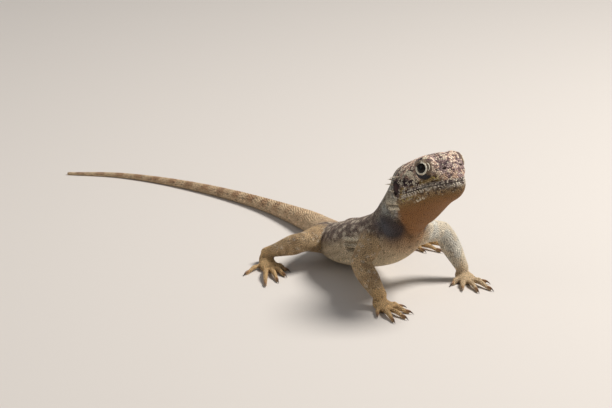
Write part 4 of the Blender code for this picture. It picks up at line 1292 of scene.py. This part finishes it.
def choose_roots(points, triangles, surface, animal, rng):
    """Where scales grow: along the lips, in rows where they fit, and evenly in between."""
    samples = spread_samples(points, triangles, rng)
    facts = animal.read(samples)
    spacing = scale_spacing(facts)
    bare = bald(facts)
    alive = ~bare
    cloud = tree_of(samples)
    lips = nearest_of(cloud, labial_roots()[0])
    laid, _ = onto(surface, row_roots(animal.bones))
    rows = [k for k in nearest_of(cloud, laid) if facts["kind"][k] != "head"]
    chosen = []
    for k in lips + rows + rng.permutation(len(samples)).tolist():
        if alive[k]:
            chosen.append(k)
            for _, near, _ in cloud.find_range(samples[k], ROOT_CLEAR * spacing[k]):
                alive[near] = False
    held = np.isin(chosen, lips)
    roots, filled = samples[chosen], samples[~bare]
    for _ in range(RELAX_STEPS):
        owner = np.array(nearest_of(tree_of(roots), filled))
        size = np.bincount(owner, minlength=len(roots)).astype(float)
        middle = np.stack([np.bincount(owner, filled[:, a], len(roots)) for a in range(3)], axis=1)
        middle = middle / np.maximum(size, 1)[:, None]
        roots, _ = onto(surface, np.where(((size > 2) & ~held)[:, None], middle, roots))
    return roots, held


def scale_outlines(roots, normals, lies, spacing):
    """How far each scale reaches in each direction before it meets its neighbours."""
    tree = tree_of(roots)
    near = np.empty((len(roots), NEAR_COUNT), int)
    for k, p in enumerate(roots.tolist()):
        found = [i for _, i, _ in tree.find_n(p, NEAR_COUNT + 1) if i != k][:NEAR_COUNT]
        near[k, :] = found + [k] * (NEAR_COUNT - len(found))
    away = roots[near] - roots[:, None]
    facing = np.einsum("ijk,ik->ij", normals[near], normals)
    across = np.cross(normals, lies)
    x = np.einsum("ijk,ik->ij", away, lies)
    y = np.einsum("ijk,ik->ij", away, across)
    length = np.hypot(x, y)
    length = np.where((facing < 0.3) | (length < 1e-6), FAR, length)
    turn = np.arctan2(y, x)
    reach = np.empty((len(roots), CORNERS))
    for s, angle in enumerate(corner_angles()):
        ahead = np.cos(turn - angle)
        limit = np.where(ahead > 0.2, 0.5 * length / np.maximum(ahead, 0.2), FAR)
        reach[:, s] = np.minimum(limit.min(axis=1), MOST_REACH * spacing)
    return np.maximum(reach, LEAST_REACH * spacing[:, None]), across


def corner_angles():
    """The way to each corner of a scale, from the way it lies."""
    return 2 * math.pi * np.arange(CORNERS) / CORNERS


def scale_faces():
    """The triangles of one scale: its side, its top round the middle, and its base."""
    faces = []
    for k in range(CORNERS):
        n = (k + 1) % CORNERS
        a, b = CORNERS + k, CORNERS + n
        faces += [(k, n, b), (k, b, a), (a, b, 2 * CORNERS)]
    return np.array(faces + [(0, k + 1, k) for k in range(1, CORNERS - 1)])


def fast_mesh(name, points, faces):
    """A mesh of triangles from arrays."""
    mesh = bpy.data.meshes.new(name)
    mesh.vertices.add(len(points))
    mesh.loops.add(len(faces) * 3)
    mesh.loops.foreach_set("vertex_index", np.asarray(faces, np.int32).ravel())
    mesh.polygons.add(len(faces))
    mesh.polygons.foreach_set("loop_start", np.arange(len(faces), dtype=np.int32) * 3)
    mesh.vertices.foreach_set("co", points.astype(np.float32).ravel())
    mesh.update(calc_edges=True)
    mesh.shade_smooth()
    return mesh


def colour_points(mesh, tones):
    layer = mesh.color_attributes.new("tone", "FLOAT_COLOR", "POINT")
    flat = np.ones((len(mesh.vertices), 4), np.float32)
    flat[:, :3] = tones
    layer.data.foreach_set("color", flat.ravel())


def tile_of(name):
    """Which ninth of the flat layout a length of limb takes: column and row."""
    if "digit" in name:
        tile = 3 + int(name[-1])
    elif name.startswith(("hand", "foot")):
        tile = 2
    else:
        tile = int(name.startswith(("upper_arm", "thigh")))
    return tile % 3, tile // 3


def unwrap(roots, facts, animal):
    """Where each root is on a flat layout of the skin: round the form and along it, 0 to 1."""
    x, y, z = facts["head"].T
    on_head = facts["kind"] == "head"
    around = np.where(on_head, np.arctan2(x, z + 3.0), np.arctan2(facts["across"], -facts["high"]))
    u = 0.5 + around / (2 * math.pi)
    v = np.where(on_head, (y + 2.0) / 34.0, facts["place"] / TAIL_END)
    for name, (start, end) in animal.bones.items():
        mine = facts["owner"] == animal.names.index(name)
        _, one, other = bone_axes(start, end)
        off = roots[mine] - start
        column, row = tile_of(name)
        turned = 0.5 + np.arctan2(off @ one, -(off @ other)) / (2 * math.pi)
        u[mine] = (column + 0.05 + 0.9 * turned) / 3
        v[mine] = (row + 0.1 + 0.8 * np.clip(facts["bone"][mine], -0.1, 1.1)) / 3
    return 0.01 + 0.98 * np.clip(np.stack([u, v], axis=1), 0, 1)


PATCH = 0.0014  # half the width of a scale's patch on the flat layout
MOUTH_CLEAR = 0.13  # lip scales stop this short of the mouth's line


def grow_scales(roots, normals, facts, held, surface, animal, rng):
    """The points, colours and flat places of every scale, as arrays of one row a scale; the colours carry
    painted shade at each rim and a painted highlight on each top.
    """
    spacing = scale_spacing(facts)
    lies = units(facts["lie"] - np.einsum("ij,ij->i", facts["lie"], normals)[:, None] * normals)
    reach, across = scale_outlines(roots, normals, lies, spacing)
    height, lap, keel = scale_form(facts)
    over = mouth_height(facts["head"])
    height = height * (spacing / 0.85) * (0.85 + 0.3 * rng.random(len(roots)))
    angles = corner_angles()
    ways = np.cos(angles)[None, :, None] * lies[:, None] + np.sin(angles)[None, :, None] * across[:, None]
    rear = np.maximum(np.cos(angles), 0)[None, :]
    front = np.maximum(-np.cos(angles), 0)[None, :]
    toward = np.einsum("ijk,k->ij", ways, HEAD_AXES[2]) * -np.sign(over)[:, None]
    room = np.maximum(np.abs(over) - MOUTH_CLEAR, 0.1)[:, None] / np.maximum(toward, 0.25)
    reach = np.where(held[:, None] & (toward > 0.25), np.minimum(reach, room), reach)
    rim = roots[:, None] + ways * reach[..., None]
    run = onto(surface, rim.reshape(-1, 3))[0].reshape(rim.shape) - roots[:, None]
    lap_more = (lap[:, None] * rear)[..., None]
    base = roots[:, None] + run * (0.97 - 0.10 * lap_more) - 0.10 * normals[:, None]
    shoulder_high = height[:, None] * (0.72 + 0.7 * lap[:, None] * rear - 1.2 * lap[:, None] * front)
    spread = 0.78 + (0.16 * rear + 1.0 * lap[:, None] * rear)
    shoulder = roots[:, None] + run * spread[..., None] + shoulder_high[..., None] * normals[:, None]
    ridge = (height * (1.0 + 0.5 * keel))[:, None]
    top = roots + lies * (0.35 * keel * reach[:, 0])[:, None] + normals * ridge
    points = np.concatenate([base, shoulder, top[:, None]], axis=1)
    points[..., 2] = np.maximum(points[..., 2], SCALE_FLOOR)
    tones = paint(facts)
    tones = np.clip(tones * (0.90 + 0.2 * rng.random(len(roots)))[:, None], 0, 1)
    tones = tint_lips(speckle(tones, facts, rng), roots, facts, held)
    # painted shade at each scale's rim and a painted highlight on its top
    painted_relief_light = np.repeat([RIM_PAINTED_SHADE, SHOULDER_PAINTED_SHADE, TOP_PAINTED_HIGHLIGHT], [CORNERS, CORNERS, 1])
    ring = np.stack([np.cos(angles), np.sin(angles)], axis=1) * PATCH
    offsets = np.concatenate([ring, ring * 0.75, [[0.0, 0.0]]])
    colours = np.clip(tones[:, None] * painted_relief_light[None, :, None], 0, 1)
    return points, colours, unwrap(roots, facts, animal)[:, None] + offsets[None]


def tint_lips(tones, roots, facts, held):
    """Bars across the lips: one scale pale, the next dark."""
    places, dark = labial_roots()
    is_dark = dark[nearest_of(tree_of(places), roots)]
    bars = np.where(is_dark[:, None], LABIAL_DARK, LABIAL_PALE)
    over = np.abs(mouth_height(facts["head"]))
    share = 0.35 + 0.5 * patchy(facts["point"], 2.6, 51, 0.35, 0.55) * ramp(1.3 - over, 0.0, 0.6)
    share = share * np.where(is_dark, 0.9, 1.0)
    return np.where(held[:, None], mix(tones, bars, share), tones)


def speckle(tones, facts, rng):
    """Single scales that are paler or darker than those round them."""
    on_head = facts["kind"] == "head"
    draw = rng.random(len(tones))
    over = mouth_height(facts["head"])
    below = ramp(over, -4.5, -2.5) * ramp(eye_distance(facts["head"])[0], 4.4, 5.4)
    pale = draw < np.where(on_head, 0.14 * below, 0.05)
    dark = draw > 1 - np.where(on_head, 0.17 * below, 0.05)
    lone = 0.6 - 0.3 * ramp(-over, 1.4, 2.2)
    paler = np.where(on_head[:, None], mix(tones, CREAM, lone), 1.3 * tones)
    darker = np.where(on_head[:, None], mix(tones, PURPLE_BROWN, 0.6), 0.6 * tones)
    tones = np.where(pale[:, None], paler, tones)
    return np.clip(np.where(dark[:, None], darker, tones), 0, 1)


def piece_names(facts, animal):
    """Which piece of the coat each scale goes to."""
    kind, place = facts["kind"], facts["place"]
    out = np.where(facts["high"] < -0.05, "scales_trunk_lower", "scales_trunk_upper").astype(object)
    out[(kind == "spine") & (place < SPINE_PLACE["shoulders"])] = "scales_neck"
    out[(kind == "spine") & (place > SPINE_PLACE["vent"])] = "scales_tail"
    head = kind == "head"
    out[head] = np.where(facts["head"][head, 0] >= 0, "scales_head_right", "scales_head_left")
    for name in animal.bones:
        side = "left" if "left" in name else "right"
        limb = "arm" if name.startswith(("upper_arm", "forearm", "hand")) else "leg"
        out[facts["owner"] == animal.names.index(name)] = f"scales_{limb}_{side}"
    return out


PIECE_SLOT = {"head": "head_skin", "arm": "limb_skin", "leg": "limb_skin"}


def build_coat(points, colours, places, owners, finish):
    """One joined mesh for each piece of the coat."""
    pieces = []
    for name in sorted(set(owners)):
        mine = np.where(owners == name)[0]
        starts = np.arange(len(mine)) * points.shape[1]
        faces = (scale_faces()[None] + starts[:, None, None]).reshape(-1, 3)
        mesh = fast_mesh(name, points[mine].reshape(-1, 3), faces)
        colour_points(mesh, colours[mine].reshape(-1, 3))
        layer = mesh.uv_layers.new(name="OFBake")
        flat = places[mine].reshape(-1, 2)[faces.ravel()]
        layer.data.foreach_set("uv", flat.astype(np.float32).ravel())
        piece = new_object(name, mesh, finish)
        PIECE_SLOT.get(name.split("_")[1], "body_skin")
        pieces.append(piece)
    return pieces


def new_material(name, values):
    """A material with these values on its shader."""
    made = bpy.data.materials.new(name)
    made.use_nodes = True
    shader = made.node_tree.nodes["Principled BSDF"]
    set_inputs(shader, values)
    return made, shader


def set_inputs(node, values):
    for socket, value in values.items():
        node.inputs[socket].default_value = value


def add_node(material, kind, values=None):
    node = material.node_tree.nodes.new(kind)
    set_inputs(node, values or {})
    return node


def tone_of(material):
    """The colour that each point carries."""
    node = add_node(material, "ShaderNodeAttribute")
    node.attribute_name = "tone"
    return node.outputs["Color"]


def skin_material(name, roughness, grain):
    """Dry skin coloured by its points, with a fine grain."""
    made, shader = new_material(name, {"Roughness": roughness, "Specular IOR Level": 0.35})
    link = made.node_tree.links.new
    place = add_node(made, "ShaderNodeTexCoord")
    grains = add_node(made, "ShaderNodeTexNoise", {"Scale": 2200.0, "Detail": 3.0})
    span = add_node(made, "ShaderNodeMapRange", {"To Min": 0.82, "To Max": 1.16})
    shade = add_node(made, "ShaderNodeVectorMath")
    shade.operation = "SCALE"
    bump = add_node(made, "ShaderNodeBump", {"Strength": grain, "Distance": 0.00006})
    link(place.outputs["Object"], grains.inputs["Vector"])
    link(grains.outputs["Fac"], span.inputs["Value"])
    link(tone_of(made), shade.inputs[0])
    link(span.outputs["Result"], shade.inputs["Scale"])
    link(shade.outputs["Vector"], shader.inputs["Base Color"])
    link(grains.outputs["Fac"], bump.inputs["Height"])
    link(bump.outputs["Normal"], shader.inputs["Normal"])
    return made


def gloss_material(name, roughness, level, coat):
    """A smooth surface coloured by its points."""
    values = {"Roughness": roughness, "Specular IOR Level": level, "Coat Weight": coat}
    made, shader = new_material(name, values | {"Coat Roughness": 0.04})
    made.node_tree.links.new(tone_of(made), shader.inputs["Base Color"])
    return made


def loft_object(name, groups, finish, colour):
    """One object from several lofts. Colour gives each group's points their tone, 0 to 1 along it."""
    points, faces, tones, start = [], [], [], 0
    for rings in groups:
        count, sides = len(rings), len(rings[0])
        points.append(loft_points(rings))
        faces += loft_faces(count, sides, start)
        share = np.repeat(np.linspace(0, 1, count), sides)
        tones.append(colour(np.concatenate([share, [0.0, 1.0]])))
        start += len(points[-1])
    mesh = new_mesh(name, np.concatenate(points), faces)
    colour_points(mesh, np.concatenate(tones))
    return new_object(name, mesh, finish)


def bent_cone(root, direction, bend, height, radius):
    """Rings of a spine that tapers to its tip and curves towards bend."""
    direction = unit(direction)
    rings = []
    for share in np.linspace(-0.45, 1.0, 9):
        on = max(share, 0.0)
        middle = root + direction * height * share + unit(bend) * 0.35 * height * on * on
        ahead = unit(direction + unit(bend) * 0.7 * on)
        side = unit(np.cross(ahead, [0.31, 0.2, 0.93]))
        thick = radius * (1.0 - 0.9 * on**0.8)
        rings.append(middle + thick * circle(turns(10), side, np.cross(ahead, side)))
    return rings


def build_spines(finish):
    """The crest of the nape and the spines behind the ears."""
    groups = []
    for k in range(CREST_SPINES):
        share = CREST_SPAN[0] + (CREST_SPAN[1] - CREST_SPAN[0]) * k / (CREST_SPINES - 1)
        place = share * NECK_BLEND
        top = spine_ring(place, turns(4))[1]
        back = unit(spine_ring(place + 1.0, turns(4))[1] - top)
        lean = unit(top - spine_frame(place)[0][:3]) + 0.7 * back
        size = 0.62 + 0.38 * math.sin(math.pi * (0.15 + 0.8 * k / (CREST_SPINES - 1)))
        groups.append(bent_cone(top, lean, back, CREST_HEIGHT * size, CREST_RADIUS * size))
    for side, _ in SIDES:
        lean = np.array([0.55 * side, -0.75, 0.25]) @ HEAD_AXES
        for on, up, height in EAR_SPINES:
            root = on_side(np.array(EAR_AT) + (-0.6 - 0.1 * abs(up), on, up), side)
            groups.append(bent_cone(root, lean, -HEAD_AXES[1], height, 0.24 + 0.12 * height))
    piece = loft_object("spines", groups, finish, lambda t: mix(SPINE_ROOT, SPINE_TIP, ramp(t, 0.3, 0.8)))
    return piece


def claw_rings(tip, direction):
    side = unit(np.cross(direction, UP))
    rings = []
    for place in np.linspace(CLAW_CURVE[0][0], CLAW_CURVE[-1][0], 14):
        size, high = along(CLAW_CURVE, place)
        middle = tip + direction * CLAW_LENGTH * place
        middle[2] = high
        rings.append(middle + CLAW_RADIUS * size * circle(turns(12), 0.8 * side, UP))
    return rings


def build_claws(bones, finish):
    digits = [bone for name, bone in bones.items() if "digit" in name]
    groups = [claw_rings(end, unit(end - start)) for start, end in digits]
    piece = loft_object("claws", groups, finish, lambda t: mix(CLAW_ROOT, CLAW_TIP, ramp(t, 0.2, 0.9)))
    return piece


def build_eye(side, name, finish):
    axes = eye_axes(side)
    across, upward, out = axes
    middle = eye_at(side, EYE_PLACE)
    mesh = new_mesh(f"eyeball_{name}", *egg(middle, (EYE_RADIUS,) * 3, axes, 64, 64))
    off = units(mesh_points(mesh) - middle)
    turn = np.degrees(np.arccos(np.clip(off @ out, -1, 1)))
    spoke = np.arctan2(off @ upward, off @ across)
    iris = mix(EYE_IRIS, EYE_SPOKES, 0.5 + 0.5 * np.sin(34 * spoke + 3 * np.sin(5 * spoke)))
    tone = mix(iris, EYE_PUPIL, ramp(PUPIL - turn, -1.0, 1.0))
    colour_points(mesh, mix(tone, EYE_PUPIL, ramp(turn, *IRIS_EDGE)))
    piece = new_object(f"eyeball_{name}", mesh, finish)
    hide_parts(f"eye_{name}")
    return piece


def lid_ring(side):
    """The rounded edge of the lids, beaded by its small scales."""
    across, upward, out = eye_axes(side)
    middle = eye_at(side, LID_PLACE)
    points, faces = [], []
    for k in range(LID_STEPS):
        way = 2 * math.pi * k / LID_STEPS
        spoke = math.cos(way) * across + math.sin(way) * upward
        bead = 1.0 + 0.13 * abs(math.sin(LID_BEADS / 2 * way)) - 0.08
        heavy = LID_THICKNESS * bead * (1.0 + 0.24 * math.cos(way + 0.8))
        points.append(middle + LID_RADIUS * spoke + heavy * circle(turns(LID_AROUND), spoke, out))
        a, b = k * LID_AROUND, (k + 1) % LID_STEPS * LID_AROUND
        for m in range(LID_AROUND):
            n = (m + 1) % LID_AROUND
            faces.append((a + m, a + n, b + n, b + m))
    return np.concatenate(points), faces


def lid_fold(side):
    """The thin pale fold of skin before the eye, as a tapered tube."""
    across, upward, out = eye_axes(side)
    middle = eye_at(side, LID_PLACE - 0.42)
    rings = []
    for share in np.linspace(0, 1, 40):
        way = LID_FOLD_FROM + LID_FOLD_SPAN * share
        spoke = math.cos(way) * across + math.sin(way) * upward
        thick = LID_FOLD_THICKNESS * math.sin(math.pi * (0.03 + 0.94 * share)) ** 0.6
        thick *= 1.0 + 0.15 * math.sin(32 * way)
        away = LID_RADIUS + 0.86 + 0.30 * math.sin(math.pi * share)
        rings.append(middle + away * spoke + thick * circle(turns(LID_FOLD_AROUND), spoke, out))
    return loft_points(rings), loft_faces(len(rings), LID_FOLD_AROUND)


def behind_eye(local):
    """How much each point lies on the upper back quarter of the lids' ring."""
    _, turn, _ = eye_distance(local)
    return ramp(np.cos(turn - LID_DARK_TURN), 0.72, 0.92)


def build_lids(finish):
    points, faces = np.zeros((0, 3)), []
    for side, _ in SIDES:
        for ring, quads in (lid_ring(side), lid_fold(side)):
            faces += [tuple(len(points) + i for i in quad) for quad in quads]
            points = np.concatenate([points, ring])
    mesh = new_mesh("eyelids", points, faces)
    made = mesh_points(mesh)
    tone = mix(LID_CREAM, LID_SHADE, patchy(made, 0.7, 61, 0.55, 0.8))
    colour_points(mesh, mix(tone, LID_DARK, 0.9 * behind_eye(to_head(made))))
    piece = new_object("eyelids", mesh, finish)
    return piece


def build_drum(side, name, finish):
    middle = np.array([EAR_AT[0] - EARDRUM_IN, EAR_AT[1], EAR_AT[2]]) * flip(side)
    mesh = new_mesh(f"eardrum_{name}", *egg(from_head(middle), EARDRUM_SIZE, HEAD_AXES, 48, 40))
    off = (to_head(mesh_points(mesh)) - middle) / np.array(EARDRUM_SIZE)
    # painted shade: the eardrum darkens toward its rim in the ear's recess
    colour_points(mesh, mix(DRUM_MIDDLE, DRUM_RIM_SHADE, ramp(np.hypot(off[:, 1], off[:, 2]), 0.3, 0.95)))
    piece = new_object(f"eardrum_{name}", mesh, finish)
    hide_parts(f"ear_{name}")
    return piece


def build_stage():
    """A plain pale floor and soft studio light."""
    bpy.context.scene.view_settings.view_transform = "Standard"
    mesh = bpy.data.meshes.new("floor")
    corners = [(-4, -4, 0), (4, -4, 0), (4, 4, 0), (-4, 4, 0)]
    mesh.from_pydata(corners, [], [(0, 1, 2, 3)])
    finish, _ = new_material("pale_floor", {"Base Color": (0.62, 0.58, 0.54, 1.0), "Roughness": 0.85})
    floor = new_object("floor", mesh, finish)
    floor.location.z = -0.00002
    world = bpy.data.worlds.new("studio")
    world.use_nodes = True
    set_inputs(world.node_tree.nodes["Background"], {"Color": (0.94, 0.96, 1.0, 1.0), "Strength": 0.23})
    bpy.context.scene.world = world


# The view of the photo: degrees round and above, millimetres, and the place that falls on a pixel.
CAMERA_AZIMUTH = -33.0
CAMERA_ELEVATION = 18.0
CAMERA_DISTANCE = 900.0
CAMERA_LENS = 135.0
SENSOR_WIDTH = 36.0
PHOTO_SIZE = (612, 408)
ANCHOR = (0.0, 0.0, 24.0)
ANCHOR_PIXEL = (404.0, 238.0)


def camera_frame():
    azimuth, elevation = math.radians(CAMERA_AZIMUTH), math.radians(CAMERA_ELEVATION)
    right = np.array([math.cos(azimuth), math.sin(azimuth), 0.0])
    level = np.array([-math.sin(azimuth), math.cos(azimuth), 0.0])
    ahead = level * math.cos(elevation) - UP * math.sin(elevation)
    return right, ahead, np.cross(right, ahead)


def build_camera(shift):
    right, ahead, up = camera_frame()
    per_pixel = SENSOR_WIDTH / CAMERA_LENS / PHOTO_SIZE[0] * CAMERA_DISTANCE
    aside = (ANCHOR_PIXEL[0] - PHOTO_SIZE[0] / 2) * per_pixel
    above = -(ANCHOR_PIXEL[1] - PHOTO_SIZE[1] / 2) * per_pixel
    place = np.array(ANCHOR) - CAMERA_DISTANCE * ahead - aside * right - above * up + shift
    camera = bpy.data.cameras.new("camera")
    camera.lens = CAMERA_LENS
    camera.sensor_width = SENSOR_WIDTH
    camera.clip_start = 0.01
    camera.clip_end = 20.0
    made = new_object("camera", camera)
    rows = [(right[k], up[k], -ahead[k], place[k] * MM) for k in range(3)]
    made.matrix_world = Matrix((*rows, (0, 0, 0, 1)))
    bpy.context.scene.camera = made


def add_light(name, place, target, power, size, colour):
    light = bpy.data.lights.new(name, "AREA")
    light.energy = power
    light.shape = "DISK"
    light.size = size
    light.color = colour
    made = new_object(name, light)
    made.location = place
    made.rotation_euler = (Vector(target) - Vector(place)).to_track_quat("-Z", "Y").to_euler()


def build_lights():
    right, ahead, _ = camera_frame()
    target = np.array([0.0, -0.06, 0.02])
    level = unit([ahead[0], ahead[1], 0.0])
    key = target + 0.58 * right + 0.08 * level + 0.9 * UP
    fill = target - 0.9 * right - 0.5 * level + 0.5 * UP
    add_light("key", key, target, 15.5, 0.42, (1.0, 0.97, 0.93))
    add_light("fill", fill, target, 1.7, 0.9, (1.0, 0.95, 0.9))


def settle(piece, shift):
    """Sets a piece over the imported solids, in metres, and lets it ride with them."""
    piece.data.transform(Matrix.Translation(Vector(shift) * MM) @ Matrix.Scale(MM, 4))
    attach(piece, "root")


FLESH_NODES = ["head", "neck", "torso", "tail_1", "tail_2", "tail_3", "tail_4"] + [
    f"{name}_{side}"
    for side in ("left", "right")
    for name in ("upper_arm", "forearm", "hand", "thigh", "shank", "foot")
]
# Painted shade: the skin between the scales is darkened to a share of their colour, as the shade between
# them.
GAP_PAINTED_SHADE = 0.42  # of the skin between the scales, as a share of their colour


def main():
    for thing in list(bpy.data.objects):
        bpy.data.objects.remove(thing, do_unlink=True)
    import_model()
    low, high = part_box("eye_right")
    shift = (np.array(low) + np.array(high)) / 2 / MM - eye_at(1, EYE_PLACE)
    rng = np.random.default_rng(SEED)

    animal = Animal()
    uncut = build_skin(animal)
    uncut.calc_loop_triangles()
    points, triangles = mesh_points(uncut), read_rows(uncut.loop_triangles, "vertices", 3, np.int32)
    normals = point_normals(points, triangles)
    animal.folds = fold_lines(points)
    points = points - normals * fold_depth(points, animal.folds)[0][:, None]
    points[:, 2] = np.maximum(points[:, 2], FLOOR_CLEAR)
    set_points(uncut, points)
    surface = BVHTree.FromPolygons(points.tolist(), triangles.tolist())

    roots, held = choose_roots(points, triangles, surface, animal, rng)
    facts = animal.read(roots)
    _, raw = onto(surface, roots)
    root_normals = units(normals[nearest_of(tree_of(points), roots)] + 0.3 * raw)
    made = grow_scales(roots, root_normals, facts, held, surface, animal, rng)

    coat_finish = skin_material("scales", 0.55, 0.25)
    skin_finish = skin_material("skin", 0.7, 0.4)
    gloss = gloss_material("wet_eye", 0.06, 0.18, 0.0)
    horn = gloss_material("horn", 0.38, 0.4, 0.1)
    drum = gloss_material("eardrum", 0.6, 0.25, 0.0)
    pieces = build_coat(*made, piece_names(facts, animal), coat_finish)

    skin = cut_skin(uncut)
    skin.data.shade_smooth()
    skin.data.materials.clear()
    skin.data.materials.append(skin_finish)
    # painted shade: the skin between the scales is a darker share of their colour
    colour_points(skin.data, GAP_PAINTED_SHADE * paint(animal.read(mesh_points(skin.data))))
    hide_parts(*FLESH_NODES)
    pieces.append(skin)
    for side, name in SIDES:
        pieces.append(build_eye(side, name, gloss))
        pieces.append(build_drum(side, name, drum))
    pieces.append(build_lids(skin_finish))
    pieces.append(build_claws(animal.bones, horn))
    pieces.append(build_spines(skin_finish))
    for piece in pieces:
        settle(piece, shift)

    build_stage()
    build_camera(shift)
    build_lights()


main()
